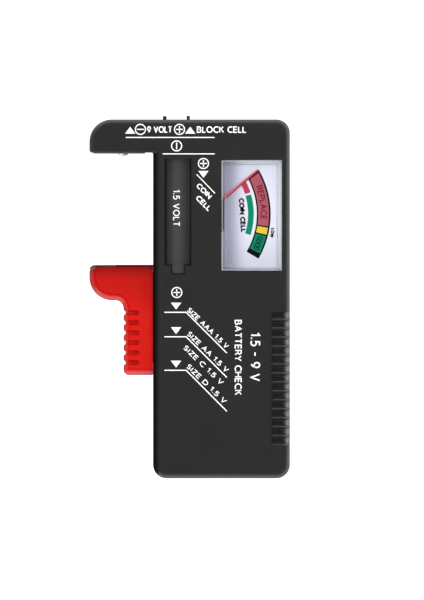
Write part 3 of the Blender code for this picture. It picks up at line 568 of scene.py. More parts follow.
# Tinted clear as painted shade on the lens's bevel and on its steps.
CLEAR_BEVEL_PAINTED_SHADE = clear("clear_bevel_painted_shade", (0.80, 0.80, 0.85), 0.2)
CLEAR_STEP_PAINTED_SHADE = clear("clear_step_painted_shade", (0.2, 0.2, 0.23), 0.2)
# A pale opaque rim as a painted highlight round the lens's edge.
LENS_RIM_PAINTED_HIGHLIGHT = plain("lens_rim_painted_highlight", (0.5, 0.5, 0.54), 0.5)
# The dial's white with painted shade.
DIAL_PAINTED_SHADE = dial_sheet()
SCALE_BLACK = ink("scale_black", grey(0.002))
SCALE_RED = ink("scale_red", srgb(174, 86, 101))
SCALE_BRIGHT_RED = ink("scale_bright_red", srgb(190, 56, 76))
SCALE_YELLOW = ink("scale_yellow", srgb(230, 197, 62))
SCALE_GREEN = ink("scale_green", srgb(0, 132, 96))
SCALE_MAROON = ink("scale_maroon", srgb(96, 24, 40))
SCALE_DARK_GREEN = ink("scale_dark_green", srgb(4, 58, 40))
BOARD = plain("board_green", (0.03, 0.16, 0.06), 0.35, 1.5 * MM)
RESISTOR = plain("resistor_body", (0.55, 0.42, 0.26), 0.4)
BLACK_PVC = plain("black_insulation", grey(0.02), 0.45)
RED_PVC = plain("red_insulation", (0.5, 0.02, 0.02), 0.45)
PALE_ABS = plain("pale_abs", (0.7, 0.7, 0.74), 0.4)
POINTER_RED = plain("pointer_red", srgb(222, 92, 108), 0.35, 1.0 * MM)
POINTER_SHADE = plain("pointer_shade", srgb(120, 30, 42), 0.35, 1.0 * MM)


# --- Case ---


def case_outline(inset=0.0, shares=None):
    corners = [
        (LEFT, BOTTOM, 4.0 * MM),
        (RIGHT, BOTTOM, 4.0 * MM),
        (RIGHT, TOP, 4.0 * MM),
        (ARM_TIP, TOP, 6.6 * MM),
        (ARM_TIP, ARM_UNDER, 0.8 * MM),
        (LEFT, ARM_UNDER, 0.5 * MM),
    ]
    return rounded_outline(corners, inset=inset, shares=shares)


def shell_rings(lip, rim_z, lip_z, floor_z, face_z):
    """Rings of half a case: the hollow, the lip at its seam, and the rounded outer edge."""
    out = math.copysign(1.0, face_z - rim_z)
    profile = [(WALL, floor_z), (WALL, lip_z), (lip, lip_z), (lip, rim_z)]
    profile += [(SEAM_CHAMFER, rim_z), (0.0, rim_z + out * SEAM_CHAMFER)]
    rings = [ring(case_outline(inset), z) for inset, z in profile]
    fillet = round_over(FILLET)
    return rings + [ring(case_outline(side, FILLET_SHARES), face_z - out * drop) for side, drop in fillet]


def wall_openings(pin):
    """The slider's slot, the fixed contact's slits and a pin's hole."""
    half = STEM_HEIGHT / 2 + GAP
    y = (STEM_Y[0] - TRAVEL_DOWN - GAP, SLIDER_TOP + TRAVEL_UP + GAP)
    slot = block((LEFT - MM, LEFT + WALL + 0.6 * MM), y, span(SEAM_Z, half))
    y = (ARM_UNDER - MM, ARM_UNDER + WALL + 0.5 * MM)
    slits = [block(span(x, 0.5 * MM), y, span(SEAM_Z, 1.8 * MM)) for x in arm_tab_places()]
    low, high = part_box(pin)
    place = ((low.x + high.x) / 2, (low.z + high.z) / 2)
    return [slot, *slits, along_y(drum(place, 0.72 * MM, TOP - WALL - MM, TOP + MM))]


def arm_tab_places():
    return (arm_low.x + 1.8 * MM, arm_high.x - 0.8 * MM)


def trough_floor(x):
    """Height of the trough's round floor."""
    return DEPTH - TROUGH_DEPTH + TROUGH_RADIUS - math.sqrt(TROUGH_RADIUS**2 - (x - TROUGH_X) ** 2)


def trough_prism(width, crease_depth, ends):
    """A round-floored trough along Y with a crease at each side. ends holds (y, rise)."""
    steps = 32
    half = width / 2 - CREASE
    xs = [TROUGH_X + half * (2 * step / steps - 1) for step in range(steps + 1)]
    section = [(x, trough_floor(x)) for x in xs]
    edge = trough_floor(xs[-1]) - crease_depth
    section += [(xs[-1], edge), (TROUGH_X + width / 2, edge)]
    section += [(TROUGH_X + width / 2, DEPTH + MM), (TROUGH_X - width / 2, DEPTH + MM)]
    section += [(TROUGH_X - width / 2, edge), (xs[0], edge)]
    return [[(x, y, min(z + rise, DEPTH + MM)) for x, z in section] for y, rise in ends]


def end_creases():
    """The creases across the trough's shoulders and the end of its nub."""
    y, z = (TROUGH_Y[0], TROUGH_Y[0] + CREASE), (DEPTH - TROUGH_DEPTH - 0.3 * MM, DEPTH + MM)
    reach = (TROUGH_WIDTH - NUB_WIDTH) / 4
    shoulders = [block(span(x, reach), y, z) for x in span(TROUGH_X, NUB_WIDTH / 2 + reach)]
    y, z = (NUB_END_Y, NUB_END_Y + CREASE), (DEPTH - TROUGH_DEPTH + NUB_RISE - NUB_CREASE_DEPTH, DEPTH + MM)
    return [*shoulders, block(span(TROUGH_X, NUB_WIDTH / 2), y, z)]


def rib_groove(y, width, depth):
    """A round groove of this width and depth, across the face and down the grip side."""
    radius = groove_radius(width, depth)
    side_x = RIGHT - RIB_SIDE_DEPTH - depth + RIB_DEPTH + radius
    corner = RIB_CORNER - depth + RIB_DEPTH + radius
    path = over_edge(RIB_START_X + radius, side_x, DEPTH - depth + radius, corner)
    return tube([*path, (side_x, RIB_SIDE_Z + radius)], y, radius)


def front_shell():
    inner_z = DEPTH - FACE_WALL
    rings = shell_rings(LIP_INSET - GAP, RIM_Z, RIM_Z + LIP_HEIGHT, inner_z, DEPTH)
    shell = mesh_object("front_moulding", [rings])
    trough_back = block(
        (LEFT + WALL / 2, TROUGH_X + TROUGH_WIDTH / 2 + MM),
        (NUB_END_Y - MM, TROUGH_Y[1] + MM),
        (DEPTH - TROUGH_DEPTH - 0.9 * MM, inner_z + 0.3 * MM),
    )
    add(shell, [trough_back])
    add(shell, drums(SCREW_PLACES, 2.9 * MM, RIM_Z, inner_z + 0.3 * MM))
    holes = drums(SCREW_PLACES, 1.45 * MM, RIM_Z - MM, 20.0 * MM)
    window = prism(rectangle(*window_sides(), 0.15 * MM), inner_z - MM, DEPTH + MM)
    cut(shell, [*holes, window, *wall_openings("nine_volt_positive_pin")])
    low, high = TROUGH_Y
    trough = trough_prism(TROUGH_WIDTH, TROUGH_CREASE_DEPTH, ((low, 0.0), (high, 0.0)))
    cut(shell, [trough])
    nub = trough_prism(NUB_WIDTH, NUB_CREASE_DEPTH, ((NUB_END_Y, NUB_RISE), (low + CREASE, 0.0)))
    cut(shell, [nub])
    cut(shell, end_creases())
    ys = [RIB_FIRST_Y - RIB_PITCH * rib for rib in range(RIB_COUNT)]
    cut(shell, [rib_groove(y, RIB_WIDTH, RIB_DEPTH) for y in ys])
    flares = [rib_groove(y - RIB_FLARE_SHIFT, RIB_FLARE_WIDTH, RIB_FLARE_DEPTH) for y in ys]
    cut(shell, flares)
    soften(shell, 0.12 * MM)
    finish_piece(shell, CASE_BLACK, "case", "black_abs", "front_shell")

    def on_trough_floor(place):
        side = abs(place.x - TROUGH_X) + CREASE
        wide = low + CREASE < place.y < high and side < TROUGH_WIDTH / 2
        narrow = NUB_END_Y + CREASE < place.y <= low + CREASE and side < NUB_WIDTH / 2
        return (wide or narrow) and DEPTH - 2.5 * MM < place.z < DEPTH - 0.5 * MM

    def in_rib(place):
        return place.x > RIB_START_X and any(abs(place.y - y) < RIB_WIDTH / 2 for y in ys)

    def in_painted_shade_beside_jaws(place):
        in_view = place.y < ARM_UNDER and place.z > DEPTH - FILLET
        return in_view and -MM < place.x - LEFT < min(JAW_EDGE, place.y - BOTTOM)

    # The trough's floor gets painted light and shade.
    recolour(shell, TROUGH_PAINTED_LIGHT_AND_SHADE, on_trough_floor)
    # The grip's grooves get painted shade and a painted highlight at their ends.
    recolour(shell, GROOVE_PAINTED_SHADE_AND_HIGHLIGHT, in_rib)
    # The left edge beside the jaws gets painted shade.
    recolour(shell, EDGE_PAINTED_SHADE, in_painted_shade_beside_jaws)


def rear_shell():
    rim_z = RIM_Z - GAP
    rings = shell_rings(LIP_INSET, rim_z, rim_z + LIP_HEIGHT, FLOOR_WALL, 0.0)
    shell = mesh_object("rear_moulding", [rings])
    root = FLOOR_WALL - 0.5 * MM
    add(shell, drums(SCREW_PLACES, 3.1 * MM, root, rim_z))
    board_posts = in_mm((-6.0, -35.2), (10.0, -20.8))
    add(shell, drums(board_posts, 2.0 * MM, root, 4.9 * MM))
    add(shell, drums(board_posts, 0.8 * MM, root, 7.0 * MM))
    meter_posts = in_mm((-9.4, 10.2), (15.3, 10.2), (15.3, 39.2), (-9.4, 39.2))
    add(shell, drums(meter_posts, 1.4 * MM, root, 3.3 * MM))
    supports = in_mm((-45.0, -1.2), (-21.0, -1.2), (3.5, -1.2), (44.5, -1.2))
    x, z = (-13.4 * MM, -12.2 * MM), (root, SEAM_Z + 1.7 * MM)
    add(shell, [block(x, (y + reach, y - reach), z) for y, reach in supports])
    holes = drums(SCREW_PLACES, 1.45 * MM, 3.0 * MM, rim_z + MM)
    cut(shell, [*holes, *wall_openings("nine_volt_negative_pin")])
    cut(shell, drums(SCREW_PLACES, 2.6 * MM, -MM, 3.8 * MM))
    soften(shell, 0.12 * MM)
    finish_piece(shell, CASE_BLACK, "case", "black_abs", "rear_shell")


# --- Slider ---


def slider_outline(inset=0.0):
    """The jaw and grip seen from the front. The edges against the case and the plate take no fillet."""
    jaw_bottom = SLIDER_TOP - JAW_HEIGHT
    corners = [
        (LEFT - CLOSE, slider_low.y, 0.3 * MM),
        (LEFT - CLOSE, slider_high.y, 0.1 * MM),
        (ARM_TIP, slider_high.y, JAW_TOP_RADIUS),
        (ARM_TIP, jaw_bottom, JAW_RADIUS),
        (GRIP_X, jaw_bottom, NECK_RADIUS),
        (GRIP_X, slider_low.y, 1.6 * MM),
    ]
    return rounded_outline(corners, inset=inset, shares=(0, 0, 1, 1, 1, 1))


def slider_body():
    low, high = slider_low.z, slider_high.z
    fillet = round_over(SLIDER_FILLET)
    rings = [ring(slider_outline(side), low + rise) for rise, side in fillet]
    rings += [ring(slider_outline(side), high - drop) for side, drop in fillet]
    body = mesh_object("slider_moulding", [rings])
    carriage_x = LEFT + WALL + GAP
    carriage = (carriage_x, carriage_x + CARRIAGE_THICKNESS)
    add(body, [block(carriage, STEM_Y, span(SEAM_Z, CARRIAGE_HEIGHT / 2))])
    add(body, [block((LEFT - MM, carriage_x + MM), STEM_Y, span(SEAM_Z, STEM_HEIGHT / 2))])
    radius = groove_radius(GRIP_GROOVE_WIDTH, GRIP_GROOVE_DEPTH)
    front = over_edge(
        GRIP_GROOVE_END_X - radius,
        GRIP_X + GRIP_GROOVE_SIDE_DEPTH - radius,
        high - GRIP_GROOVE_DEPTH + radius,
        GRIP_GROOVE_CORNER + radius,
    )
    path = front + [(x, low + high - z) for x, z in reversed(front)]
    ys = [GRIP_GROOVE_FIRST_Y - GRIP_GROOVE_PITCH * groove for groove in range(GRIP_GROOVES)]
    cut(body, [tube(path, y, radius) for y in ys])
    soften(body, 0.15 * MM)
    finish_piece(body, RED, "slider", "red_abs", "slider_body")

    def in_groove(place):
        sunk = low + 0.05 * MM < place.z < high - 0.05 * MM and place.x < GRIP_GROOVE_END_X
        return sunk and any(abs(place.y - y) < GRIP_GROOVE_WIDTH / 2 for y in ys)

    # The slider's grooves get the red dimmed as painted shade.
    recolour(body, GROOVE_RED_PAINTED_SHADE, in_groove)
    # The jaw's top edge gets the painted shadow.
    recolour(body, LIP_PAINTED_SHADOW, lambda place: place.y > slider_high.y - 0.2 * MM)


def strip_rings(path, thickness):
    """Rings of a bent strip: path holds (x, y, half height) along its middle."""
    places = [Vector(point[:2]) for point in path]
    ends = [places[0], *places, places[-1]]
    rings = []
    for place, before, after, point in zip(places, ends, ends[2:], path):
        tangent = (after - before).normalized()
        out = Vector((-tangent.y, tangent.x)) * thickness / 2
        upper, lower = place + out, place - out
        low, high = span(SEAM_Z, point[2])
        rings.append([(*upper, low), (*lower, low), (*lower, high), (*upper, high)])
    return rings


def slider_contact():
    """The plate on the jaw, its tongue through the slot, and the wiper that bears on the rail."""
    thickness = SLIDER_TOP - slider_high.y + BITE
    middle = SLIDER_TOP - thickness / 2
    bend = JAW_TOP_RADIUS - BITE + thickness / 2
    wide, tongue = (contact_high.z - contact_low.z) / 2, 1.6 * MM
    centre = (ARM_TIP + JAW_TOP_RADIUS, slider_high.y - JAW_TOP_RADIUS)
    path = [(x, y, wide) for x, y in bow(*centre, bend, bend, 145, 90, 12)]
    path.append((PLATE_END_X, middle, wide))
    path += [(x, middle, tongue) for x in (PLATE_END_X + STRIP, LEFT - 0.5 * MM)]
    inner = LEFT + WALL + GAP + CARRIAGE_THICKNESS + 0.1 * MM + STRIP / 2
    corner = 0.8 * MM
    path += [(inner - side, middle - drop, tongue) for side, drop in reversed(round_over(corner, 8))]
    rise = rail_low.x - 0.1 * MM - STRIP / 2 - inner
    for step in range(25):
        share = step / 24
        path.append((inner + rise * math.sin(math.pi * share) ** 1.5, (6.0 - 7.6 * share) * MM, tongue))
    path.append((inner, -6.0 * MM, tongue))
    strip = mesh_object("contact_strip", [strip_rings(path, thickness)])
    soften(strip, 0.12 * MM)
    finish_piece(strip, NICKEL, "slider", "nickel_plate", "slider_contact")
    # The tongue beyond the plate gets the dark metal as painted shade: a dark line beside the jaw's top
    # edge.
    recolour(strip, BLACK_NICKEL_AND_PAINTED_SHADE, lambda place: place.x > PLATE_END_X)


# --- Fixed contacts and screws ---


def arm_contact():
    """The fixed jaw's strip, with its dome and its two tabs in the case."""
    top = ARM_UNDER + BITE
    bottom = ARM_UNDER - 0.3 * MM
    half = (arm_high.z - arm_low.z) / 2
    corners = rectangle((arm_low.x, arm_high.x), span(SEAM_Z, half))
    flat = rounded_outline([(*corner, 0.6 * MM) for corner in corners], 8)
    strip = mesh_object("arm_strip", [along_y(prism(flat, bottom, top))])
    y, z = (bottom + 0.1 * MM, arm_high.y), span(SEAM_Z, 1.5 * MM)
    add(strip, [block(span(x, 0.2 * MM), y, z) for x in arm_tab_places()])
    place, radius, rise = (-29.05 * MM, SEAM_Z), 1.5 * MM, bottom - arm_low.y
    dome = [circle(place, radius, bottom + 0.1 * MM)]
    dome += [circle(place, radius * math.cos(a), bottom - rise * math.sin(a)) for a in quarter(12)[:-1]]
    add(strip, [along_y(dome)])
    soften(strip, 0.05 * MM)
    finish_piece(strip, NICKEL, "case", "nickel_plate", "arm_contact")


def nine_volt_pin(name, head):
    """A turned pin through the top wall. head holds (radius, distance below the tip)."""
    low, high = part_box(name)
    inner = TOP - WALL - 0.1 * MM
    profile = [(radius * MM, high.y - drop * MM) for radius, drop in head]
    profile += [(profile[-1][0], inner), (1.3 * MM, inner), (1.3 * MM, inner - 0.6 * MM)]
    profile += [(0.4 * MM, inner - 0.6 * MM), (0.4 * MM, low.y)]
    place = ((low.x + high.x) / 2, (low.z + high.z) / 2)
    pin = mesh_object(f"{name}_turned", [along_y([circle(place, radius, y) for radius, y in profile])])
    finish_piece(pin, BLACK_NICKEL_AND_PAINTED_SHADE, "case", "nickel_plate", name)


def case_screw(name, low, high):
    """A pan-head screw with a cross recess and a rolled thread."""
    place = ((low + high) / 2).to_2d()
    head, crown, core, crest, pitch = 2.3 * MM, 0.9 * MM, 0.95 * MM, 1.25 * MM, 0.8 * MM
    rings = [circle(place, head * math.sin(a), low.z + crown * (1 - math.cos(a))) for a in quarter()[2:]]
    rings += [circle(place, head, low.z + 1.35 * MM), circle(place, crest, low.z + 1.4 * MM)]
    start, end, steps = low.z + 1.8 * MM, high.z - 1.5 * MM, 110
    for step in range(steps + 1):
        z = start + (end - start) * step / steps
        points = []
        for side, angle in enumerate(full_turn(ROUND_SIDES)):
            phase = (z / pitch - side / ROUND_SIDES) % 1.0
            radius = core + (crest - core) * max(0.0, 1 - 3.2 * abs(phase - 0.5))
            points.append((place.x + radius * math.cos(angle), place.y + radius * math.sin(angle), z))
        rings.append(points)
    rings.append(circle(place, 0.25 * MM, high.z))
    screw = mesh_object(f"{name}_turned", [rings])
    long, thin = 1.25 * MM, 0.32 * MM
    arm = [(long, -thin), (long, thin), (thin, thin)]
    cross = [(x * c - y * s, x * s + y * c) for c, s in ((1, 0), (0, 1), (-1, 0), (0, -1)) for x, y in arm]
    recess = []
    for share, z in ((1.0, -0.5), (1.0, 0.15), (0.55, 1.2)):
        recess.append([(place.x + x * share, place.y + y * share, low.z + z * MM) for x, y in cross])
    cut(screw, [recess])
    finish_piece(screw, STEEL, "case", "steel", name)


# --- Meter ---


def window_sides():
    """The window's left and right, and its bottom and top, inside the lens's flange."""
    return (lens_low.x + 1.5 * MM, lens_high.x - 0.62 * MM), (lens_low.y + 1.5 * MM, lens_high.y - 1.55 * MM)


def meter_lens():
    """The clear window: a flange behind the face, and a block with a ledge, a step and a bevel round it."""
    seat = DEPTH - FACE_WALL - 0.1 * MM
    x, y = window_sides()
    flange = rectangle((lens_low.x, lens_high.x), (lens_low.y, lens_high.y))
    steps = ((0.0, 0.35), (0.07, 0.28), (0.2, 0.28), (0.42, 0.22), (1.12, 0.15), (1.32, 0.0))
    rings = [ring(flange, lens_low.z), ring(flange, seat), ring(rectangle(x, y), seat)]
    rings += [ring(rectangle(x, y, -inset * MM), DEPTH - drop * MM) for inset, drop in steps]
    lens = mesh_object("meter_window", [rings])
    finish_piece(lens, CLEAR, "case", "clear_lens", "meter_lens", sharp=2)

    def between(start, end, sides):
        """Picks the faces this far in from the left, bottom, right or top side, whichever is nearest."""

        def chosen(place):
            insets = [place.x - x[0], place.y - y[0], x[1] - place.x, y[1] - place.y]
            inset = min(insets)
            return place.z > seat and start * MM < inset < end * MM and insets.index(inset) in sides

        return chosen

    left, bottom, right, top = range(4)
    # Painted shade on the bevel and on the steps, on the sides away from the lamp.
    recolour(lens, CLEAR_BEVEL_PAINTED_SHADE, between(0.43, 1.11, (left, bottom, top)))
    recolour(lens, CLEAR_STEP_PAINTED_SHADE, between(0.21, 0.41, (bottom,)))
    recolour(lens, CLEAR_STEP_PAINTED_SHADE, between(1.13, 1.31, (right, top)))
    # The lens's outer rim gets the painted highlight.
    recolour(lens, LENS_RIM_PAINTED_HIGHLIGHT, between(0.01, 0.19, range(4)))
    lens.visible_shadow = False
    lens.visible_diffuse = False


def dial_plate():
    """The printed plate, with a slot cut in its left edge for the movement."""
    low, high = dial_low, dial_high
    slot_x = 0.95 * MM
    slot_low, slot_high = span(PIVOT.y, 5.4 * MM)
    corners = [
        *((x, y, 0.2 * MM) for x, y in rectangle((low.x, high.x), (low.y, high.y))),
        (low.x, slot_high, 0.1 * MM),
        (slot_x, slot_high, 0.8 * MM),
        (slot_x, slot_low, 0.8 * MM),
        (low.x, slot_low, 0.1 * MM),
    ]
    flat = rounded_outline(corners, 8)
    plate = mesh_object("dial_sheet", [prism(flat, low.z, high.z)])
    soften(plate, 0.05 * MM)
    finish_piece(plate, DIAL_PAINTED_SHADE, "case", "dial_print", "dial_plate")


def scale_band(name, radii, start, end, surface, layer=1, slant=0.0):
    """A printed part of a ring between two angles. Its outer edge starts slant degrees early."""
    steps = round(abs(end - start) * 1.2)
    inner, outer = (radius * MM for radius in radii)
    flat = bow(*SCALE_CENTRE, outer, outer, start + slant, end, steps)
    flat += bow(*SCALE_CENTRE, inner, inner, end, start, steps)
    band = mesh_object(name, [prism(flat, dial_high.z, dial_high.z + INK * layer)])
    finish_piece(band, surface, "case", "dial_print")


def pointer():
    """The needle, cranked up through the dial's cut-out, with its hub and counterweight tail."""
    needle_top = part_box("pointer")[1].z
    thick, ridge = 0.25 * MM, 0.15 * MM
    hub_z, needle_z = 17.3 * MM, needle_top - thick
    tail = in_mm((-4.2, 0.9), (-3.0, 0.9), (-2.6, 0.35), (-1.0, 0.44), (1.0, 0.44), (3.0, 0.44))
    crank = [(3.4 * MM, 0.44 * MM, hub_z + 0.2 * MM), (4.9 * MM, 0.44 * MM, needle_z - 0.2 * MM)]
    tip = in_mm((5.4, 0.44), (20.0, 0.32), (20.5, 0.1))
    rings = []
    for x, half, z in [(*at, hub_z) for at in tail] + crank + [(*at, needle_z) for at in tip]:
        side_z = z + thick - ridge
        section = [(-half, z), (half, z), (half, side_z), (-half / 4, z + thick), (-half, side_z)]
        rings.append([(x, y, height) for y, height in section])
    needle = mesh_object("needle", [rings])
    add(needle, [drum((0, 0), 1.0 * MM, hub_z - 0.1 * MM, hub_z + 0.35 * MM)])
    cut(needle, [drum((0, 0), 0.45 * MM, hub_z - MM, hub_z + MM)])
    turn = Matrix.Rotation(math.radians(NEEDLE_REST_DEGREES), 4, "Z")
    needle.data.transform(Matrix.Translation(PIVOT.to_3d()) @ turn)
    finish_piece(needle, POINTER_RED, "pointer_movement", "pointer_red", "pointer", sharp=15)

    def on_shaded_flank(place):
        along = turn.inverted() @ (place - PIVOT.to_3d())
        return along.x > 5 * MM and along.y < -0.09 * MM

    recolour(needle, POINTER_SHADE, on_shaded_flank)


# --- Printing ---


# Each letter's width and strokes, as shares of the capital height
STEM = [(0, 0), (0, 1)]
LOWER_BOWL = bow(0.24, 0.265, 0.26, 0.265, -90, 90)
LETTERS = {
    " ": (0.2, []),
    "-": (0.34, [[(0, 0.46), (0.34, 0.46)]]),
    ".": (0.12, [[(0.06, -0.04), (0.06, 0.12)]]),
    "1": (0.22, [[(0, 0.8), (0.22, 1), (0.22, 0)]]),
    "5": (0.44, [[(0.4, 1), (0.06, 1), (0.03, 0.56), *bow(0.15, 0.31, 0.29, 0.31, 100, -130)]]),
    "9": (0.48, [[*bow(0.0, 0.68, 0.48, 0.68, -72, 0), *bow(0.24, 0.68, 0.24, 0.32, 0, 330)]]),
    "A": (0.66, [[(0, 0), (0.33, 1), (0.66, 0)], [(0.12, 0.33), (0.54, 0.33)]]),
    "B": (0.5, [[(0, 0.53), *bow(0.22, 0.765, 0.22, 0.235, -90, 90), (0, 1), (0, 0), *LOWER_BOWL]]),
    "C": (0.6, [bow(0.4, 0.5, 0.4, 0.5, 52, 308)]),
    "D": (0.62, [[*STEM, *bow(0.2, 0.5, 0.42, 0.5, 90, -90), (0, 0)]]),
    "E": (0.44, [[(0.44, 1), (0, 1), (0, 0), (0.44, 0)], [(0, 0.52), (0.4, 0.52)]]),
    "G": (0.66, [[*bow(0.4, 0.5, 0.4, 0.5, 52, 318), (0.68, 0.46), (0.42, 0.46)]]),
    "H": (0.58, [STEM, [(0.58, 0), (0.58, 1)], [(0, 0.52), (0.58, 0.52)]]),
    "I": (0.02, [STEM]),
    "K": (0.52, [STEM, [(0.5, 1), (0, 0.42)], [(0.18, 0.62), (0.54, 0)]]),
    "L": (0.4, [[(0, 1), (0, 0), (0.42, 0)]]),
    "N": (0.6, [[*STEM, (0.6, 0), (0.6, 1)]]),
    "O": (0.76, [bow(0.38, 0.5, 0.38, 0.5, 0, 360)]),
    "P": (0.48, [[*STEM, *bow(0.22, 0.73, 0.26, 0.27, 90, -90), (0, 0.46)]]),
    "R": (0.52, [[*STEM, *bow(0.22, 0.74, 0.26, 0.26, 90, -90), (0, 0.48)], [(0.26, 0.48), (0.54, 0)]]),
    "S": (0.46, [[*bow(0.23, 0.745, 0.21, 0.255, 40, 270), *bow(0.22, 0.245, 0.24, 0.245, 75, -140)]]),
    "T": (0.54, [[(0, 1), (0.54, 1)], [(0.27, 1), (0.27, 0)]]),
    "V": (0.62, [[(0, 1), (0.31, 0), (0.62, 1)]]),
    "W": (0.92, [[(0, 1), (0.23, 0), (0.46, 0.96), (0.69, 0), (0.92, 1)]]),
    "Y": (0.56, [[(0, 1), (0.28, 0.48), (0.56, 1)], [(0.28, 0.48), (0.28, 0)]]),
    "Z": (0.5, [[(0, 1), (0.5, 1), (0, 0), (0.52, 0)]]),
}
LETTER_SPACE = 0.24


def flat_on(z, centre=(0, 0), angle=0.0):
    """Lays printing flat at this height, turned about its centre."""
    turn = Matrix.Rotation(math.radians(angle), 4, "Z")
    turn.translation = (centre[0] * MM, centre[1] * MM, z)
    return lambda place: turn @ place


def on_scale(radius, angle):
    """Lays printing along the dial's scale, with its tops outwards."""

    def bend(place):
        turn = math.radians(angle) - place.x / (radius * MM)
        out = Vector((math.cos(turn), math.sin(turn))) * (radius * MM + place.y)
        return Vector((*(SCALE_CENTRE + out), dial_high.z + 2 * INK + place.z))

    return bend


def in_trough(centre):
    """Lays printing on the trough's round floor, reading down."""

    def bend(place):
        x, y = centre[0] * MM + place.y, centre[1] * MM - place.x
        return Vector((x, y, trough_floor(x) + place.z))

    return bend


def ribbon(points, width, lift):
    """Rings of a flat line of ink with mitred corners along the points, which are in metres."""
    places = [Vector(points[0])]
    for point in points[1:]:
        start, end = places[-1], Vector(point)
        pieces = math.ceil((end - start).length / (0.4 * MM))
        places += [start.lerp(end, (piece + 1) / pieces) for piece in range(pieces)]
    closed = (places[0] - places[-1]).length < 0.01 * MM
    if closed:
        places.pop()
    count = len(places)
    rings = []
    for i, place in enumerate(places):
        before = places[i - 1] if closed or i else place * 2 - places[1]
        after = places[(i + 1) % count] if closed or i < count - 1 else place * 2 - places[i - 1]
        sides = [Vector((-way.y, way.x)).normalized() for way in (place - before, after - place)]
        out = (sides[0] + sides[1]).normalized()
        out *= width / 2 * min(1 / max(out.dot(sides[0]), 0.1), 2.0)
        left, right = place + out, place - out
        rings.append([(*left, 0.0), (*right, 0.0), (*right, lift), (*left, lift)])
    return rings, closed


def strokes(name, lines, width, place, surface=WHITE_INK):
    """Printed lines of one width, given in metres on the flat and laid where place puts them."""
    drawn = [ribbon(line, width * MM, INK) for line in lines]
    shapes = [rings for rings, closed in drawn if not closed]
    piece = mesh_object(name, shapes, [rings for rings, closed in drawn if closed])
    for vertex in piece.data.vertices:
        vertex.co = place(vertex.co)
    finish_piece(piece, surface, "case", "dial_print")


def lettering(name, words, length, height, width, place, surface=WHITE_INK):
    """Words centred on the place, with this length, capital height and stroke width in millimetres."""
    total = sum(LETTERS[letter][0] + LETTER_SPACE for letter in words) - LETTER_SPACE
    stretch, tall = (length - width) / total, height - width
    cursor = -total / 2
    lines = []
    for letter in words:
        advance, shapes = LETTERS[letter]
        for shape in shapes:
            lines.append([((cursor + x) * stretch * MM, (y - 0.5) * tall * MM) for x, y in shape])
        cursor += advance + LETTER_SPACE
    strokes(f"{name}_words", lines, width, place, surface)


def arrows(name, places, up=True):
    """Solid triangles of ink."""
    rise = 1.0 if up else -1.0
    shapes = []
    for x, y in places:
        outline = in_mm((x - 1.5, y - rise), (x + 1.5, y - rise), (x, y + rise))
        shapes.append(prism(outline, DEPTH, DEPTH + INK))
    finish_piece(mesh_object(f"{name}_mark", shapes), WHITE_INK, "case", "dial_print")


def polarity(name, x, y, signs):
    """A ring with a sign in it: "-", "|" or both."""
    lines = {"-": in_mm((-1.0, 0), (1.0, 0)), "|": in_mm((0, -1.0), (0, 1.0))}
    outline = bow(0, 0, 1.49 * MM, 1.49 * MM, 0, 360)
    strokes(f"{name}_sign", [outline, *(lines[sign] for sign in signs)], 0.3, flat_on(DEPTH, (x, y)))


def front_print():
    face = flat_on(DEPTH)
    polarity("nine_volt_minus", -23.95, 50.08, "-")
    polarity("nine_volt_plus", -12.4, 50.08, "-|")
    polarity("arm_minus", -13.25, 45.2, "|")
    polarity("coin_plus", -5.33, 40.0, "-|")
    polarity("cell_plus", -13.2, 1.89, "-|")
    arrows("nine_volt", ((-26.98, 49.83), (-9.24, 49.83)))
    arrows("coin", ((-5.33, 36.79),), up=False)
    lettering("nine_volt", "9 VOLT", 7.4, 1.95, 0.32, flat_on(DEPTH, (-18.28, 50.05)))
    lettering("block", "BLOCK CELL", 14.6, 1.95, 0.32, flat_on(DEPTH, (0.02, 50.02)))
    rules = [in_mm((-28.28, 47.7), (-2.03, 47.7)), in_mm((-17.36, 42.84), (-2.03, 42.84))]
    strokes("top_rules", rules, 0.28, face)
    strokes("coin_rule", [in_mm((-7.34, 36.79), (-1.93, 31.18))], 0.26, face)
    lettering("coin", "COIN", 5.4, 1.6, 0.32, flat_on(DEPTH, (-5.13, 31.88), -45))
    lettering("cell", "CELL", 5.4, 1.6, 0.32, flat_on(DEPTH, (-5.28, 28.27), -45))
    sizes = (
        ("aaa", "SIZE AAA 1.5 V", -3.96, -16.0, (-3.98, -8.65), 16.2),
        ("aa", "SIZE AA 1.5 V", -11.19, -23.2, (-3.98, -15.66), 16.2),
        ("c", "SIZE C 1.5 V", None, None, (-5.28, -19.56), 15.6),
        ("d", "SIZE D 1.5 V", -21.09, -33.2, (-4.38, -25.08), 15.6),
    )
    for name, words, line_y, end_y, centre, length in sizes:
        lettering(f"size_{name}", words, length, 1.5, 0.25, flat_on(DEPTH, centre, -44.2))
        if line_y:
            rule = in_mm((-16.86, line_y), (-10.44, line_y), (1.58, end_y))
            strokes(f"size_{name}_rule", [rule], 0.3, face)
            arrows(f"size_{name}", ((-13.41, line_y + 1.82),), up=False)
    lettering("check", "BATTERY CHECK", 22.2, 2.1, 0.33, flat_on(DEPTH, (4.94, -17.3), -90))
    lettering("range", "1.5 - 9 V", 14.4, 2.9, 0.4, flat_on(DEPTH, (10.0, -17.1), -90))
    lettering("trough", "1.5 VOLT", 10.9, 2.0, 0.3, in_trough((-13.3, 26.87)))


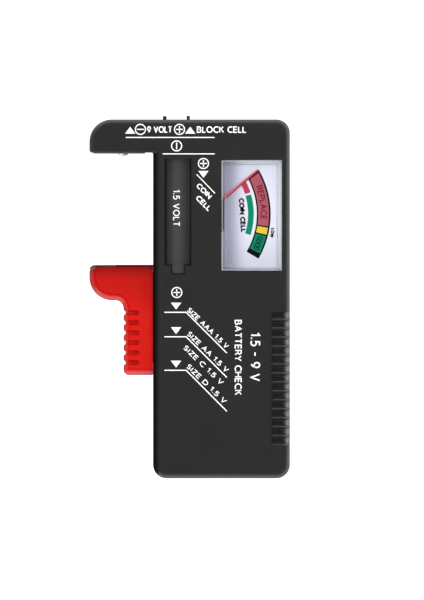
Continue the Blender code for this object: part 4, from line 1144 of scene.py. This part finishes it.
def dial_print():
    wide, thin = (22.4, 25.55), (19.35, 21.05)
    scale_band("scale_outline", (21.95, 26.05), 28.3, -30.5, SCALE_BLACK, slant=1.7)
    scale_band("scale_replace", wide, 27.2, -8.2, SCALE_RED, 2, slant=1.3)
    scale_band("scale_low", wide, -9.2, -13.9, SCALE_YELLOW, 2)
    scale_band("scale_good", wide, -14.9, -27.0, SCALE_GREEN, 2)
    scale_band("coin_scale_replace", thin, 26.6, 17.6, SCALE_BRIGHT_RED, slant=1.0)
    scale_band("coin_scale_good", thin, 16.0, -17.2, SCALE_GREEN)
    lettering("replace", "REPLACE", 10.2, 1.85, 0.3, on_scale(24.0, 8.2), SCALE_MAROON)
    lettering("good", "GOOD", 4.3, 1.85, 0.34, on_scale(24.0, -21.1), SCALE_DARK_GREEN)
    lettering("low", "LOW", 2.9, 1.05, 0.34, flat_on(dial_high.z, (15.05, 19.5), -98), SCALE_BLACK)
    lettering("dial_coin", "COIN CELL", 10.2, 1.6, 0.45, flat_on(dial_high.z, (6.2, 24.7), -86), SCALE_BLACK)


# --- Inner pieces kept from the CAD model ---


def dress_inner_nodes():
    """Finishes for the pieces whose CAD shape is right."""
    dressed = (
        (STEEL, "core_magnet yoke_ring upper_staff lower_staff"),
        (BRASS, "contact_rail lower_bridge upper_bridge lower_jewel_screw upper_jewel_screw"),
        (BRASS, "lower_hairspring upper_hairspring core_spacer_1 core_spacer_2"),
        (BRASS, "movement_pillar_1 movement_pillar_2"),
        (BRASS, "meter_terminal_positive meter_terminal_negative"),
        (COPPER, "moving_coil"),
        (PALE_ABS, "meter_case"),
        (BOARD, "circuit_board"),
        (RESISTOR, "resistor_1 resistor_2 resistor_3"),
        (BLACK_PVC, "arm_lead negative_pin_lead meter_negative_lead"),
        (RED_PVC, "positive_pin_lead rail_lead meter_positive_lead"),
    )
    for surface, names in dressed:
        for name in names.split():
            materials = frame["nodes"][name].data.materials
            materials.clear()
            materials.append(surface)


# --- Studio ---


def camera():
    """Straight down on the face, at the catalogue picture's scale."""
    data = bpy.data.cameras.new("camera")
    data.type = "ORTHO"
    data.ortho_scale = 177.26 * MM
    made = bpy.data.objects.new("camera", data)
    made.location = (-2.8 * MM, -0.33 * MM, 0.6)
    bpy.context.scene.collection.objects.link(made)
    bpy.context.scene.camera = made


def floor():
    """Pale paper that glows a little, so that hardly a shadow shows on it."""
    paper = mesh_object("floor", [block((-2, 2), (-2, 2), (-20 * MM, -0.05 * MM))])
    surface = Surface("paper", grey(0.3), 0.8, Emission_Color=grey(1.0), Emission_Strength=1.02)
    paper.data.materials.append(surface.material)
    paper.visible_glossy = False
    paper.visible_diffuse = False


def surroundings():
    """A dim ceiling and bright walls: low on the right and at both ends, dimmer on the left."""
    world = bpy.data.worlds.new("studio")
    bpy.context.scene.world = world
    world.use_nodes = True
    nodes = Nodes(world.node_tree, "Generated")
    right = nodes.ramp(nodes.x, 0.2, 0.8, 0.0, 2.6, smooth=True)
    ends = nodes.ramp(nodes.math("ABSOLUTE", nodes.y), 0.2, 0.75, 0.0, 2.4, smooth=True)
    left = nodes.ramp(nodes.x, -0.45, -0.9, 0.0, 0.9, smooth=True)
    walls = nodes.math("MAXIMUM", nodes.math("MAXIMUM", right, ends), left)
    above = nodes.ramp(nodes.z, 0.9, 0.25, smooth=True)
    below = nodes.ramp(nodes.z, -0.1, -0.8, 1.0, 0.3, smooth=True)
    light = nodes.math("ADD", nodes.math("MULTIPLY", walls, nodes.math("MULTIPLY", above, below)), 0.02)
    path = nodes.new("LightPath")
    seen = nodes.math("MAXIMUM", light, nodes.math("MULTIPLY", path.outputs["Is Camera Ray"], 0.95))
    background = nodes.tree.nodes["Background"].inputs
    nodes.feed(grey(1.0), background["Color"])
    nodes.feed(seen, background["Strength"])


def key_lamp():
    """A large soft lamp above the top right of the face."""
    data = bpy.data.lights.new("key", "AREA")
    data.shape = "SQUARE"
    data.size = 0.6
    data.energy = 5.35
    light = bpy.data.objects.new("key", data)
    light.location = (0.03, 0.06, 0.7)
    light.rotation_euler = (-light.location).to_track_quat("-Z", "Y").to_euler()
    light.visible_glossy = False
    light.visible_transmission = False
    bpy.context.scene.collection.objects.link(light)


def main():
    bpy.context.scene.view_settings.view_transform = "Standard"
    camera()
    floor()
    surroundings()
    key_lamp()
    front_shell()
    rear_shell()
    slider_body()
    slider_contact()
    arm_contact()
    nine_volt_pin("nine_volt_positive_pin", ((0.3, 0.0), (0.46, 0.08), (0.52, 0.22)))
    nine_volt_pin("nine_volt_negative_pin", ((0.1, 0.0), (0.3, 0.05), (0.5, 0.2), (0.62, 0.5), (0.55, 0.8)))
    for name, (low, high) in screws.items():
        case_screw(name, low, high)
    meter_lens()
    dial_plate()
    pointer()
    front_print()
    dial_print()
    dress_inner_nodes()


main()
